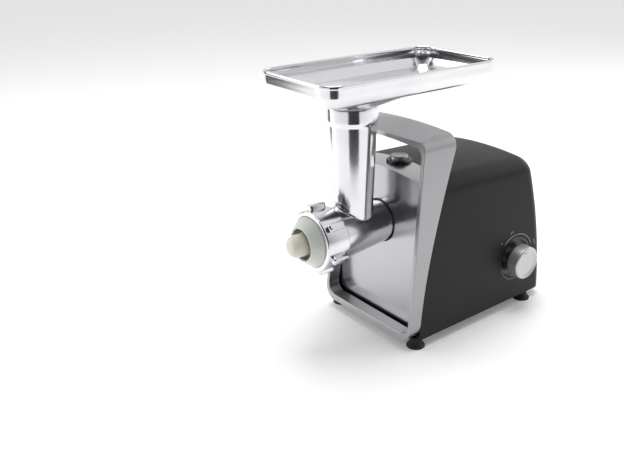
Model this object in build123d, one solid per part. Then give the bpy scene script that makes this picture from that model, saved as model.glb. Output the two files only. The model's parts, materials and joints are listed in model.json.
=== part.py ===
from build123d import *
import os
from math import acos, atan2, cos, degrees, hypot, pi, radians, sin, sqrt, tan

# Electric meat grinder with a kebbe nozzle, in millimetres.
# Design frame: x = 0 is the body's symmetry plane, y = 0 the feed neck's axis, z = 0 the table.
# The nozzle points to -Y and the knob is on the +X side. Every node is moved on export, so that
# the origin is the middle of the whole object's footprint.

# ---- body ----
body_half_width = 86.5      # at the bottom edge
body_taper = 0.04           # sideways lean of each side wall, per mm of height
base_z = 12.5               # bottom edge of the body
front_y = 17.3              # front rim of the frame at the bottom edge
front_lean = 0.11           # rearward lean of the front rim
rear_y = 274.0              # rear wall at the bottom edge
shell_wall = 2.6
deck_z = 217.0              # top of the deck on the symmetry plane
deck_crown_radius = 430.0
deck_end_y = 85.0           # where the deck meets the shell
deck_fall = 0.033           # behind it the body's top falls towards the rear
top_corner_radius = 20.0
rear_corner_radius = 17.0
fit_gap = 0.2               # between fixed pieces that seat in one another
post_radius, post_top_z = 5.5, 58.0
post_rows = (66.0, 174.0)   # screw posts of the shell, clear of the feet and the knob

# ---- front frame and handle ----
rim_side = 5.5              # thickness of the frame's side walls
rim_bottom = 8.5
handle_top_z = 266.5
handle_edge_z = 262.5       # the handle's top at its side corners
handle_front_z = 260.5      # the handle's top along its front edge
handle_under_z = 255.5
frame_low_radius = 20.0
frame_high_radius = 14.0
# rear edge of the band, as seen from the side: (y, z)
band_rear = [(34.5, base_z - 1.0), (35.5, 20.6), (44.8, 79.0), (63.6, 152.7), (85.9, 222.0), (94.6, 247.0)]
band_top_run = 2.0          # how far it still runs back above the last of them

# ---- panel ----
panel_y = 40.0              # front face at the bottom
panel_lean = 0.024
panel_thick = 3.0
deck_thick = 3.0
panel_gap = 1.6             # shadow gap round the head's flange

# ---- head ----
barrel_z = 146.0            # height of the barrel, auger and output shaft
bore_radius = 22.5
barrel_front_y = -58.2
barrel_front_radius = 33.2
flange_y = panel_y + panel_lean * (barrel_z - base_z - rim_bottom)   # level with the panel's face
tail_radius = 24.0
flange_radius = tail_radius + 2.4
thread_radius = 33.6
thread_end_y = -36.0
throat_wall_y = 31.0        # rear end of the auger's chamber
neck_low_z, neck_low_radius = 190.0, 25.2
neck_high_z, neck_high_radius = 279.0, 28.9
neck_wall = 3.0
mouth_z, mouth_top_z = 283.0, 300.0
mouth_radius = 30.7
tail_end_y = 64.0
lug_radius, lug_y0, lug_y1, lug_half_angle = tail_radius + 4.0, 50.3, 56.7, 17.0
socket_radius, socket_flange_radius = tail_radius + 10.0, tail_radius + 18.0
head_turn_angle = 45.0

# ---- ring nut, nozzle and core ----
nut_front_y, nut_rear_y = -65.0, -33.0
nut_front_radius, nut_rear_radius = 37.1, 36.3
nut_lip, nut_opening_radius = 3.5, 31.0
thread_clearance = 0.15
lug_count, lug_height, lug_width = 6, 6.2, 9.5
lug_start_y, lug_end_y, first_lug_angle = -60.0, -38.0, 40.0
nozzle_flange = 2.9
nozzle_tip_y, nozzle_tip_radius, nozzle_wall = -78.0, 21.5, 2.2
core_radius, core_tip_y = 13.6, -94.0

# ---- tray ----
tray_half_width = 67.7
tray_front_y, tray_rear_y = -82.6, 175.6
tray_rim_z = 340.0
tray_corner_radius = 20.0
tray_wall = 1.5
crease_z, crease_inset = 326.0, 1.8
dish_z, dish_inset = 314.5, 8.0
spout_radius, spout_depth = 27.5, 16.0

# ---- button and latch ----
button_y, button_radius, button_height = 74.0, 11.5, 8.0
bezel_radius, bezel_height = 16.0, 3.0
button_travel = 4.0

# ---- knob and switch ----
knob_y, knob_z = 213.0, 71.0
knob_radius = 22.5
knob_proud, knob_stand_off = 20.84, 4.84    # its face and its back, out from the body's side
knob_side_x = body_half_width - body_taper * (knob_z - base_z)
knob_face_x, knob_back_x = knob_side_x + knob_proud, knob_side_x + knob_stand_off
dish_radius, dish_depth = 31.0, 5.0
spindle_radius = 3.0

# ---- feet ----
feet_inset = {"front": 10.5, "rear": 8.5}   # in from the body's widest line
feet_y = {"front": 38.0, "rear": rear_y - 34.0}
feet_places = {row: (body_half_width - feet_inset[row], feet_y[row]) for row in ("front", "rear")}
foot_radius, foot_neck_radius = 12.0, 7.5

# ---- drive: tooth counts and modules ----
pressure_angle = radians(25.0)
backlash = 0.12
output_teeth, second_pinion_teeth, output_module = 52, 13, 1.5
second_teeth, first_pinion_teeth, second_module = 48, 12, 1.25
first_teeth, motor_teeth, first_module = 60, 12, 0.8
motor_x, motor_z = 0.0, 78.0
second_gear_rise = 30.65            # height of the second gear's pin above the motor
gearbox_y0 = 66.0                   # front face of the gearbox cover
gearbox_wall = 3.0
output_gear_y, output_gear_width = 71.0, 13.0
second_gear_y, second_gear_width = 86.0, 10.0
first_gear_y, first_gear_width = 98.0, 8.0
gearbox_y1 = 108.0                  # inner face of the gearbox's rear wall
gear_clearance = 2.0
running = 0.05                      # radial clearance of every turning fit
pin_radius = 3.0
output_shaft_radius = 12.0
hex_across_flats = 10.0

# ---- motor ----
stator_width, stator_height, stator_y0, stator_y1 = 72.0, 62.0, 130.0, 178.0
air_gap = 0.6
armature_radius = 20.8
coil_inner, coil_outer = 23.0, 29.0
coil_end = 7.0
motor_shaft_radius, pinion_shaft_radius = 4.0, 2.5
commutator_radius, commutator_y0, commutator_y1 = 11.0, 190.0, 202.0
bearing_radius, bearing_width = 11.0, 7.0
front_bearing_y, rear_bearing_y = 113.0, 206.0
fan_radius, fan_y = 30.0, 121.5

# ---- auger, latch, spring, cord inlet and board ----
bush_radius, journal_radius, bush_end_y = 14.5, 11.0, 46.0
spindle_front_radius = 5.0
key_size, core_ring = 3.0, 4.5
flight_front_y, flight_rear_y, flight_pitch = -48.0, 26.0, 27.0
flight_radius, flight_circle = bore_radius - 0.6, 14.2
hex_shank_end_y, shaft_front_y = 66.0, 50.0
output_bearing_radius = output_shaft_radius + 4.0
latch_tooth, slider_y0, slider_y1 = 6.0, 61.0, 63.4
spring_radius, spring_low_z, spring_high_z, spring_wire = 4.6, deck_z - 24.0, deck_z - 14.0, 0.9
inlet_x, inlet_z, inlet_radius, inlet_bore = -45.0, 40.0, 6.0, 3.6
board_x, board_y, board_z, board_long, board_wide = -38.0, 236.0, 24.0, 56.0, 36.0


# ---------------------------------------------------------------- small helpers
def along_y(sketch, y0, y1):
    """Solid from a sketch drawn in (x, z), running from y0 to y1."""
    return extrude(Plane.XZ.offset(-y1) * sketch, amount=y1 - y0)


def along_x(sketch, x0, x1):
    """Solid from a sketch drawn in (y, z), running from x0 to x1."""
    return extrude(Plane.YZ.offset(x0) * sketch, amount=x1 - x0)


def along_z(sketch, z0, z1):
    """Solid from a sketch drawn in (x, y), running from z0 to z1."""
    return extrude(Plane.XY.offset(z0) * sketch, amount=z1 - z0)


def outline(*points):
    """Flat face bounded by straight lines through the points."""
    return make_face(Polyline(*points, close=True))


def disc(radius, x=0.0, z=0.0):
    return Pos(x, z) * Circle(radius)


def turned(profile, x=0.0, z=barrel_z):
    """Solid of revolution about the line (x, *, z) along Y; the profile is (radius, y)."""
    return Pos(x, 0, z) * revolve(outline(*profile), Axis.Y)


def rod(radius, y0, y1, x=0.0, z=barrel_z):
    return along_y(disc(radius, x, z), y0, y1)


def post(radius, z0, z1, x, y):
    return along_z(Pos(x, y) * Circle(radius), z0, z1)


def spun(shape, angle, x=0.0, z=barrel_z):
    """Turned about the Y line through (x, z); positive tips +Z towards +X."""
    return shape.rotate(Axis((x, 0, z), (0, 1, 0)), angle)


def sector(inner, outer, half_angle, middle, x=0.0, z=0.0):
    """Ring sector in (x, z); angles in degrees from +X towards +Z."""
    steps = 8
    angles = [radians(middle - half_angle + 2 * half_angle * i / steps) for i in range(steps + 1)]
    outside = [(x + outer * cos(a), z + outer * sin(a)) for a in angles]
    inside = [(x + inner * cos(a), z + inner * sin(a)) for a in reversed(angles)]
    return outline(*outside, *inside)


def half_width(z):
    return body_half_width - body_taper * (z - base_z)


def front_rim_y(z):
    return front_y + front_lean * (z - base_z)


def panel_front_y(z):
    return panel_y + panel_lean * (z - base_z - rim_bottom)


# ---------------------------------------------------------------- body outline
def crown_z(x, top):
    """Height of the crowned top at x."""
    return top - deck_crown_radius + sqrt(deck_crown_radius**2 - x * x)


def body_section(inset, top):
    """Cross-section of the body in (x, z), with a crowned top and rounded shoulders."""
    shoulder = half_width(top) - inset
    low = half_width(0) - inset
    edge = crown_z(shoulder, top)
    sides = Polyline((shoulder, edge), (low, 0), (-low, 0), (-shoulder, edge))
    crown = ThreePointArc((-shoulder, edge), (0, top), (shoulder, edge))
    face = make_face(sides + crown)
    corners = face.vertices().sort_by(Axis.Y)[-2:]
    return fillet(corners, top_corner_radius - inset)


def rear_profile(inset, top, low):
    """Side view of the body's rear in (y, z), open well ahead of the front."""
    rear = rear_y - inset
    over = deck_z + 3.0
    wall = ThreePointArc((rear, low), (rear - 7.5, 105.0), (rear - 38.5, over))
    lines = Polyline((rear - 38.5, over), (rear - 40.0, top), (-20, top), (-20, low), (rear, low))
    return make_face(wall + lines)


def body_block(inset, low):
    """The rounded body as a solid, set in from the outside by inset and cut off flat at low."""
    top = deck_z - inset
    section = Pos(0, 0, deck_fall * deck_end_y) * (Plane.XZ * body_section(inset, top))
    tube = extrude(section, amount=rear_y + 60, dir=(0, 1, -deck_fall))
    block = tube & along_x(rear_profile(inset, top + 30, low), -120, 120)
    rear_face = block.faces().sort_by(Axis.Y)[-1]
    rim = [e for e in rear_face.edges() if e.center().Z > low + 1]
    return fillet(rim, rear_corner_radius - inset)


def band_region(gap, x0, x1):
    """What lies in front of the band's rear edge, moved back by gap, as a slab along x."""
    rear = [(y + gap, z) for y, z in band_rear]
    edge = Spline(*rear)
    rest = Polyline(rear[-1], (rear[-1][0] + band_top_run, 285), (-30, 285), (-30, rear[0][1]), rear[0])
    return along_x(make_face(edge + rest), x0, x1)


def loop_outline(side, low, corner_low, top, edge, corner_high):
    """Closed outline of the frame in (x, z)."""
    wide, narrow = half_width(low) - side, half_width(edge) - side
    lines = Polyline((narrow, edge), (wide, low), (-wide, low), (-narrow, edge))
    face = make_face(lines + ThreePointArc((-narrow, edge), (0, top), (narrow, edge)))
    vertices = face.vertices().sort_by(Axis.Y)
    face = fillet(vertices[:2], corner_low)
    return fillet(face.vertices().sort_by(Axis.Y)[-2:], corner_high)


def frame_window(gap):
    """Inside of the frame, made smaller by gap all round."""
    return loop_outline(rim_side + gap, base_z + rim_bottom + gap, frame_low_radius - rim_side,
                        handle_under_z - gap, handle_under_z - 3.0 - gap, frame_high_radius - 4.0)


def front_frame():
    outer = loop_outline(0, base_z, frame_low_radius, handle_top_z, handle_edge_z, frame_high_radius)
    loop = along_y(outer - frame_window(0), -10, 130)
    rim_top = (front_rim_y(handle_front_z), handle_front_z)
    side = outline((front_rim_y(0), 0), rim_top, (band_rear[-1][0] + 3, handle_top_z + 1), (140, 285), (140, 0))
    return loop & along_x(side, -120, 120) & band_region(0, -120, 120)


def deck_slab(gap):
    """The deck's plate, as wide as the frame's window less gap, from the panel back to the shell."""
    wide = half_width(deck_z) - rim_side - gap
    low = deck_z - deck_thick
    top = ThreePointArc((-wide, crown_z(wide, deck_z)), (0, deck_z), (wide, crown_z(wide, deck_z)))
    under = ThreePointArc((wide, crown_z(wide, low)), (0, low), (-wide, crown_z(wide, low)))
    ends = [Line(top @ 1, under @ 0), Line(under @ 1, top @ 0)]
    return along_y(make_face(top + under + ends[0] + ends[1]), 30, 130)


def panel_side(gap):
    """Side view of everything behind the panel's front face."""
    low, high = base_z, 240.0
    return along_x(outline((panel_front_y(low) + gap, low), (panel_front_y(high) + gap, high),
                           (150, high), (150, low)), -120, 120)


def front_panel():
    plate = along_y(frame_window(fit_gap), 30, 60) & panel_side(0)
    plate = plate - panel_side(panel_thick)
    above = Pos(0, 0, deck_z) * Box(400, 400, 200, align=(Align.CENTER, Align.CENTER, Align.MIN))
    under_deck = deck_slab(-10)
    plate = plate - above - under_deck
    plate = plate.solids().sort_by(Axis.Z)[0]
    return plate - rod(flange_radius + panel_gap, 20, 80)


def top_deck():
    deck = deck_slab(fit_gap) & panel_side(0) & band_region(-fit_gap, -120, 120)
    return deck - post(bezel_radius - 2, 190, 240, 0, button_y)


def post_places():
    """Screw posts of the shell, beside its side walls."""
    x = half_width(post_top_z) - shell_wall - post_radius + 1.0
    return [(side * x, y) for side in (-1, 1) for y in post_rows]


def main_shell():
    outside = body_block(0, base_z) - band_region(0, -120, 120)
    inside = body_block(shell_wall, base_z - 5)
    shell = outside - inside
    for x, y in post_places():
        boss = post(post_radius, base_z + 5.0, post_top_z, x, y) & outside
        shell = shell + (boss - post(1.5, 0, 40, x, y))
    knob_hole = Pos(0, knob_y, knob_z) * Rot(0, 90, 0) * Cylinder(dish_radius, 60,
                                                                 align=(Align.CENTER, Align.CENTER, Align.MIN))
    cord_hole = rod(inlet_radius, 230, 300, inlet_x, inlet_z)
    bezel_seat = post(bezel_radius + fit_gap, 190, 240, 0, button_y)
    return shell - Pos(60, 0, 0) * knob_hole - cord_hole - bezel_seat


def base_plate():
    slab = Pos(0, 0, base_z + 1.5) * Box(400, 800, 3.0, align=(Align.CENTER, Align.CENTER, Align.MIN))
    plate = (body_block(shell_wall + fit_gap, base_z - 5) & slab) - band_region(fit_gap, -120, 120)
    for x, y in post_places():
        plate = plate - post(2.0, 0, 40, x, y)
    top = base_z + 4.5
    for x in (board_x - board_long / 2 + 4, board_x + board_long / 2 - 4):
        for y in (board_y - board_wide / 2 + 4, board_y + board_wide / 2 - 4):
            plate = plate + post(3.0, top - 1, board_z, x, y)
    return plate


def base_screws():
    screws = [post(3.6, base_z - 0.7, base_z + 1.5, x, y) + post(1.5, base_z + 1.5, 32, x, y)
              for x, y in post_places()]
    return Compound(screws)


def foot(side, row):
    x, y = feet_places[row]
    profile = outline((0, 0), (foot_radius, 0), (foot_radius, 1.6), (foot_radius - 1.6, 3.4),
                      (foot_neck_radius + 0.4, 7.5), (foot_neck_radius, 10.0), (foot_neck_radius, 24), (0, 24))
    cup = Pos(side * x, y, 0) * revolve(Plane.XZ * profile, Axis.Z)
    walls = body_block(0, base_z) - body_block(shell_wall, base_z - 5)
    cup = cup - under_frame() - above_plate() - walls
    return cup.solids().sort_by(Axis.Z)[0]


def under_frame():
    """The space that the frame takes at the bottom, filled solid."""
    outer = loop_outline(0, base_z, frame_low_radius, handle_top_z, handle_edge_z, frame_high_radius)
    return along_y(outer, -10, 130) & band_region(fit_gap, -120, 120)


def above_plate():
    """Everything above the base plate's underside, behind the band."""
    return Pos(0, 0, base_z + 1.5) * Box(400, 800, 90, align=(Align.CENTER, Align.CENTER, Align.MIN)) \
        - band_region(0, -120, 120)


# ---------------------------------------------------------------- head
def barrel_radius(y):
    share = (y - thread_end_y) / (flange_y - thread_end_y)
    return barrel_front_radius + share * (flange_radius - barrel_front_radius)


def grinding_head():
    barrel = turned([(0, barrel_front_y), (thread_radius, barrel_front_y), (thread_radius, thread_end_y),
                     (barrel_radius(thread_end_y), thread_end_y), (flange_radius, flange_y - 2.5),
                     (flange_radius, flange_y), (tail_radius, flange_y), (tail_radius, tail_end_y),
                     (0, tail_end_y)])
    slope = (neck_high_radius - neck_low_radius) / (neck_high_z - neck_low_z)
    foot_r = neck_low_radius - slope * (neck_low_z - barrel_z)
    neck = revolve(Plane.XZ * outline((0, barrel_z), (foot_r, barrel_z), (neck_high_radius, neck_high_z),
                                      (mouth_radius - 0.6, mouth_z - 1.5), (mouth_radius, mouth_z),
                                      (mouth_radius, mouth_top_z), (0, mouth_top_z)), Axis.Z)
    body = barrel + neck
    passage = revolve(Plane.XZ * outline((0, barrel_z), (foot_r - neck_wall, barrel_z),
                                         (neck_high_radius - neck_wall, neck_high_z),
                                         (spout_radius + fit_gap, mouth_z - 0.5),
                                         (spout_radius + fit_gap, mouth_top_z + 1), (0, mouth_top_z + 1)), Axis.Z)
    chamber = rod(bore_radius, barrel_front_y - 1, throat_wall_y)
    bush_bore = rod(bush_radius, throat_wall_y - 1, tail_end_y + 1)
    head = body - passage - chamber - bush_bore
    for middle in (0, 180):
        head = head + along_y(sector(tail_radius - 1, lug_radius, lug_half_angle, middle, 0, barrel_z),
                              lug_y0, lug_y1)
    notch = along_y(Pos(0, barrel_z - tail_radius) * Rectangle(latch_tooth + 1.0, 6.0), tail_end_y - 3.5,
                    tail_end_y + 1)
    for side in (-1, 1):
        head = head - along_y(Pos(side * bore_radius, barrel_z) * Rectangle(key_size + 0.4, key_size + 0.4),
                              barrel_front_y - 1, barrel_front_y + core_ring + 1.6)
    return head - notch


def head_bush():
    ring = Circle(bush_radius) - Circle(journal_radius + running)
    return along_y(Pos(0, barrel_z) * ring, throat_wall_y, bush_end_y)


def grip_lug(angle):
    """One elongated grip of the ring nut, with rounded ends and edges."""
    length = lug_end_y - lug_start_y
    reach = nut_front_radius + lug_height
    bar = Pos(0, (lug_start_y + lug_end_y) / 2, barrel_z + (reach + nut_rear_radius - 2) / 2)
    bar = bar * Box(lug_width, length, reach - nut_rear_radius + 2)
    bar = fillet(bar.edges().filter_by(Axis.Z), 2.5)
    bar = fillet(bar.faces().sort_by(Axis.Z)[-1].edges(), 2.0)
    return spun(bar, 90 - angle)


def ring_nut():
    nut = turned([(nut_opening_radius, nut_front_y), (nut_front_radius - 1.4, nut_front_y),
                  (nut_front_radius, nut_front_y + 1.4), (nut_rear_radius, nut_rear_y - 0.8),
                  (nut_rear_radius - 0.8, nut_rear_y), (thread_radius + thread_clearance, nut_rear_y),
                  (thread_radius + thread_clearance, nut_front_y + nut_lip),
                  (nut_opening_radius, nut_front_y + nut_lip)])
    lugs = [grip_lug(first_lug_angle + i * 360 / lug_count) for i in range(lug_count)]
    for lug in lugs:
        nut = nut + lug
    return nut - rod(thread_radius + thread_clearance, nut_front_y + nut_lip, nut_rear_y + 1)


def nozzle():
    seat = nut_front_y + nut_lip + 0.1
    flange_end = seat + nozzle_flange
    root = nut_opening_radius - 0.4
    tip_in = nozzle_tip_radius - nozzle_wall
    return turned([(root - nozzle_wall - 0.6, flange_end), (thread_radius - 0.1, flange_end),
                   (thread_radius - 0.1, seat), (root, seat), (root, nut_front_y - 0.6),
                   (root - 2.2, nut_front_y - 3.6), (nozzle_tip_radius + 0.6, nozzle_tip_y + 1.4),
                   (nozzle_tip_radius - 0.4, nozzle_tip_y), (tip_in, nozzle_tip_y),
                   (tip_in, nozzle_tip_y + 2.0), (root - nozzle_wall - 0.6, nut_front_y + 1.0)])


def kebbe_core():
    front = barrel_front_y
    hub = turned([(0, front), (8.5, front), (core_radius, front - 7.0), (core_radius, core_tip_y + 8.5),
                  (core_radius - 1.2, core_tip_y + 4.2), (core_radius - 4.4, core_tip_y + 1.3),
                  (core_radius - 9.0, core_tip_y), (0, core_tip_y)])
    hub = hub + rod(8.5, front - 0.1, front + core_ring + 5)
    ring = along_y(Pos(0, barrel_z) * (Circle(bore_radius - 0.15) - Circle(bore_radius - 3.2)), front,
                   front + core_ring)
    core = hub + ring
    for angle in (90, 210, 330):
        arm = along_y(Pos(0, barrel_z + bore_radius / 2 + 2) * Rectangle(5.0, bore_radius - 6), front,
                      front + core_ring)
        core = core + spun(arm, 90 - angle)
    for side in (-1, 1):
        core = core + along_y(Pos(side * (bore_radius - 0.9), barrel_z) * Rectangle(key_size, key_size), front,
                              front + core_ring)
    core = core & rod(bore_radius + key_size / 2 - 0.9, core_tip_y - 5, 0)
    return core - rod(spindle_front_radius + running, front - 6, 0)


def food_tray():
    return tray_shell() - post(spout_radius - tray_wall, 200, 400, 0, 0)


def tray_level(inset, z, radius):
    wide, long = 2 * (tray_half_width - inset), tray_rear_y - tray_front_y - 2 * inset
    return Pos(0, (tray_front_y + tray_rear_y) / 2, z) * RectangleRounded(wide, long, radius)


def tray_form(inset, lift):
    """Outer (inset 0) or inner form of the tray, down to its throat."""
    r = tray_corner_radius - inset
    wall = loft([tray_level(inset, tray_rim_z + lift, r),
                 tray_level(crease_inset + inset, crease_z + lift, r - crease_inset)])
    knee = loft([tray_level(crease_inset + inset, crease_z + lift, r - crease_inset),
                 tray_level(dish_inset + inset, dish_z + lift, r - 4.0)])
    mouth = 2 * mouth_radius
    throat = Pos(0, 0, mouth_top_z + lift) * RectangleRounded(mouth, mouth, mouth_radius - 0.5)
    dish = loft([tray_level(dish_inset + inset, dish_z + lift, r - 4.0), throat])
    return wall + knee + dish


def tray_shell():
    shell = tray_form(0, 0) - tray_form(tray_wall, tray_wall) - tray_form(tray_wall, tray_wall + 1.0)
    spout = along_z(Circle(spout_radius) - Circle(spout_radius - tray_wall), mouth_top_z - spout_depth,
                    mouth_top_z + 1.0)
    rim = along_z(Pos(0, (tray_front_y + tray_rear_y) / 2) *
                  (RectangleRounded(2 * tray_half_width, tray_rear_y - tray_front_y, tray_corner_radius)
                   - RectangleRounded(2 * tray_half_width - 5, tray_rear_y - tray_front_y - 5,
                                      tray_corner_radius - 2.5)), tray_rim_z - 1.5, tray_rim_z)
    return shell + spout + rim


# ---------------------------------------------------------------- drive line


def auger():
    throw = flight_radius - flight_circle
    length = flight_rear_y - flight_front_y
    section = Plane.XZ * (Pos(throw, 0) * Circle(flight_circle))
    screw = Solid.extrude_linear_with_rotation(section.face(), (0, 0, 0), (0, length, 0),
                                               360 * length / flight_pitch)
    screw = Pos(0, flight_front_y, barrel_z) * screw
    screw = screw + rod(spindle_front_radius, barrel_front_y - 4, flight_front_y)
    screw = screw + rod(9.0, flight_rear_y, throat_wall_y + 0.5)
    screw = screw + rod(journal_radius, throat_wall_y + 0.5, bush_end_y)
    shank = along_y(Pos(0, barrel_z) * RegularPolygon(hex_across_flats / 2, 6, major_radius=False),
                    bush_end_y - 1, hex_shank_end_y)
    return screw + shank


def drive_bush():
    """Plastic coupling between the auger's hexagon and the output shaft."""
    ring = Circle(output_shaft_radius - 3.0) - RegularPolygon(hex_across_flats / 2 + 0.05, 6, major_radius=False)
    return along_y(Pos(0, barrel_z) * ring, shaft_front_y, hex_shank_end_y)


def output_shaft():
    shaft = rod(output_shaft_radius, shaft_front_y, output_gear_y + output_gear_width + 0.5)
    shaft = shaft + rod(6.0, output_gear_y + output_gear_width, gearbox_y1 + gearbox_wall - 0.5)
    return shaft - rod(output_shaft_radius - 3.0, shaft_front_y - 1, hex_shank_end_y + 0.5)


def gear_form(teeth, module):
    """Toothed outline with involute flanks, first tooth on +X."""
    pitch, base = module * teeth / 2, module * teeth / 2 * cos(pressure_angle)
    tip, root = pitch + 0.9 * module, pitch - 1.2 * module
    half = pi / (2 * teeth) - backlash / (2 * pitch)
    inv = tan(pressure_angle) - pressure_angle

    def half_angle(radius):
        bend = acos(min(1.0, base / max(radius, base)))
        return half + inv - (tan(bend) - bend)

    start = max(root, base)
    flank = [start + (tip - start) * share for share in (0, 0.3, 0.65, 1)]
    radii = ([root] if root < base - 0.01 else []) + flank
    points = []
    for tooth in range(teeth):
        middle = 2 * pi * tooth / teeth
        points += [(r * cos(middle - half_angle(r)), r * sin(middle - half_angle(r))) for r in radii]
        points += [(r * cos(middle + half_angle(r)), r * sin(middle + half_angle(r))) for r in reversed(radii)]
    return outline(*points)


def gear(teeth, module, centre, phase, y, width, bore):
    """Spur gear on the Y line through centre, its first tooth at phase (radians from +X to +Z)."""
    toothed = Rot(0, 0, degrees(phase)) * gear_form(teeth, module) - Circle(bore)
    return along_y(Pos(*centre) * toothed, y, y + width)


def mesh_phase(phase, teeth, angle, other_teeth):
    """Phase of a gear that meshes with one at phase, from which it lies at angle."""
    return angle + pi + pi / other_teeth + (angle - phase) * teeth / other_teeth


def centre_distance(a, b, module):
    return (a + b) * module / 2


output_centre = (0.0, barrel_z)
motor_centre = (motor_x, motor_z)
reach_second = centre_distance(output_teeth, second_pinion_teeth, output_module)
reach_first = centre_distance(second_teeth, first_pinion_teeth, second_module)
reach_motor = centre_distance(first_teeth, motor_teeth, first_module)
second_drop = barrel_z - motor_z - second_gear_rise
second_centre = (-sqrt(reach_second**2 - second_drop**2), barrel_z - second_drop)


def first_gear_centre():
    """Where both of the first gear's centre distances are met, on the side away from the output."""
    dx, dz = motor_centre[0] - second_centre[0], motor_centre[1] - second_centre[1]
    span = hypot(dx, dz)
    along = (reach_first**2 - reach_motor**2 + span**2) / (2 * span)
    away = sqrt(reach_first**2 - along**2)
    ux, uz = dx / span, dz / span
    return (second_centre[0] + along * ux + away * uz, second_centre[1] + along * uz - away * ux)


first_centre = first_gear_centre()


def angle_from(a, b):
    return atan2(b[1] - a[1], b[0] - a[0])


second_phase = mesh_phase(0.0, output_teeth, angle_from(output_centre, second_centre), second_pinion_teeth)
first_phase = mesh_phase(0.0, second_teeth, angle_from(second_centre, first_centre), first_pinion_teeth)
motor_phase = mesh_phase(0.0, first_teeth, angle_from(first_centre, motor_centre), motor_teeth)


def output_gear():
    wheel = gear(output_teeth, output_module, output_centre, 0.0, output_gear_y, output_gear_width,
                 output_shaft_radius)
    web = Circle(31.0) - Circle(18.0)
    return wheel - along_y(Pos(0, barrel_z) * web, output_gear_y + output_gear_width - 4, 120)


def second_wheel():
    hub = second_pinion_radius() - 0.5
    return gear(second_teeth, second_module, second_centre, 0.0, second_gear_y, second_gear_width, hub)


def second_pinion_radius():
    return output_module * (second_pinion_teeth / 2 - 1.2)


def first_pinion_radius():
    return second_module * (first_pinion_teeth / 2 - 1.2)


def pinion(teeth, module, centre, phase, y0, y1, hub, hub_end):
    """Steel pinion with a plain hub that carries its wheel, running on a fixed pin."""
    teeth_part = gear(teeth, module, centre, phase, y0, y1 - y0, pin_radius + running)
    sleeve = Pos(*centre) * (Circle(hub) - Circle(pin_radius + running))
    return teeth_part + along_y(sleeve, y1, hub_end)


def second_pinion():
    return pinion(second_pinion_teeth, output_module, second_centre, second_phase, output_gear_y - 0.5,
                  second_gear_y, second_pinion_radius() - 0.5, second_gear_y + second_gear_width)


def first_wheel():
    return gear(first_teeth, first_module, first_centre, 0.0, first_gear_y, first_gear_width,
                first_pinion_radius() - 0.4)


def first_pinion():
    return pinion(first_pinion_teeth, second_module, first_centre, first_phase, second_gear_y - 0.5,
                  first_gear_y, first_pinion_radius() - 0.4, first_gear_y + first_gear_width)


def motor_pinion():
    return gear(motor_teeth, first_module, motor_centre, motor_phase, first_gear_y - 0.5,
                first_gear_width + 1.0, pinion_shaft_radius)


def gear_pins():
    pins = [rod(pin_radius, gearbox_y0 + 0.5, gearbox_y1 + gearbox_wall, *centre)
            for centre in (first_centre, second_centre)]
    return Compound(pins)


# ---------------------------------------------------------------- gearbox
def gearbox_outline(gap):
    tip = 0.9
    circles = [(output_centre, output_module * (output_teeth / 2 + tip)),
               (second_centre, second_module * (second_teeth / 2 + tip)),
               (first_centre, first_module * (first_teeth / 2 + tip)),
               (motor_centre, 13.0)]
    edges = [(Pos(*centre) * Circle(radius + gap)).edge() for centre, radius in circles]
    return make_hull(edges)


def ear_places():
    reach = output_module * (output_teeth / 2 + 0.9) + gear_clearance + gearbox_wall + 2.0
    low = first_module * (first_teeth / 2 + 0.9) + gear_clearance + gearbox_wall + 2.0
    return [(reach * cos(radians(a)), barrel_z + reach * sin(radians(a))) for a in (35, 145)] + \
           [(first_centre[0] + low * cos(radians(a)), first_centre[1] + low * sin(radians(a))) for a in (200, 260)]


def gearbox_holes(part):
    for centre in (first_centre, second_centre):
        part = part - rod(pin_radius, gearbox_y0 - 5, gearbox_y1 + 10, *centre)
    for x, z in ear_places():
        part = part - rod(1.6, gearbox_y0 - 5, gearbox_y1 + 10, x, z)
    return part


def gearbox_cover():
    cover = along_y(gearbox_outline(gear_clearance + gearbox_wall), gearbox_y0, gearbox_y0 + gearbox_wall)
    for x, z in ear_places():
        cover = cover + rod(5.0, gearbox_y0, gearbox_y0 + gearbox_wall, x, z)
    return gearbox_holes(cover - rod(output_bearing_radius, 0, 100))


def gearbox_housing():
    outer, inner = gearbox_outline(gear_clearance + gearbox_wall), gearbox_outline(gear_clearance)
    start = gearbox_y0 + gearbox_wall
    box = along_y(outer, start, gearbox_y1 + gearbox_wall)
    for x, z in ear_places():
        box = box + rod(5.0, start, gearbox_y1 + gearbox_wall, x, z)
    floor = base_z + 4.5
    for x in (motor_centre[0] + 4, first_centre[0] - 8):
        box = box + along_y(Pos(x, (floor + motor_z) / 2) * Rectangle(8, motor_z - floor), gearbox_y1 - 12,
                            gearbox_y1 + gearbox_wall)
    seat = Pos(0, start, barrel_z) * Box(12, 2 * (button_y - start), spring_low_z - barrel_z,
                                         align=(Align.CENTER, Align.MIN, Align.MIN))
    box = (box + seat) - along_y(inner, start - 1, gearbox_y1)
    box = box - rod(6.0 + running, 100, 130) - rod(8.0, 100, 130, *motor_centre)
    return gearbox_holes(box)




def output_bearing():
    ring = Circle(output_bearing_radius) - Circle(output_shaft_radius + running)
    return along_y(Pos(0, barrel_z) * ring, gearbox_y0 - 0.6, output_gear_y - 0.4)


def gearbox_screws():
    screws = [rod(3.0, gearbox_y0 - 2.2, gearbox_y0, x, z) + rod(1.6, gearbox_y0, gearbox_y0 + 18, x, z)
              for x, z in ear_places()]
    return Compound(screws)


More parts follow.
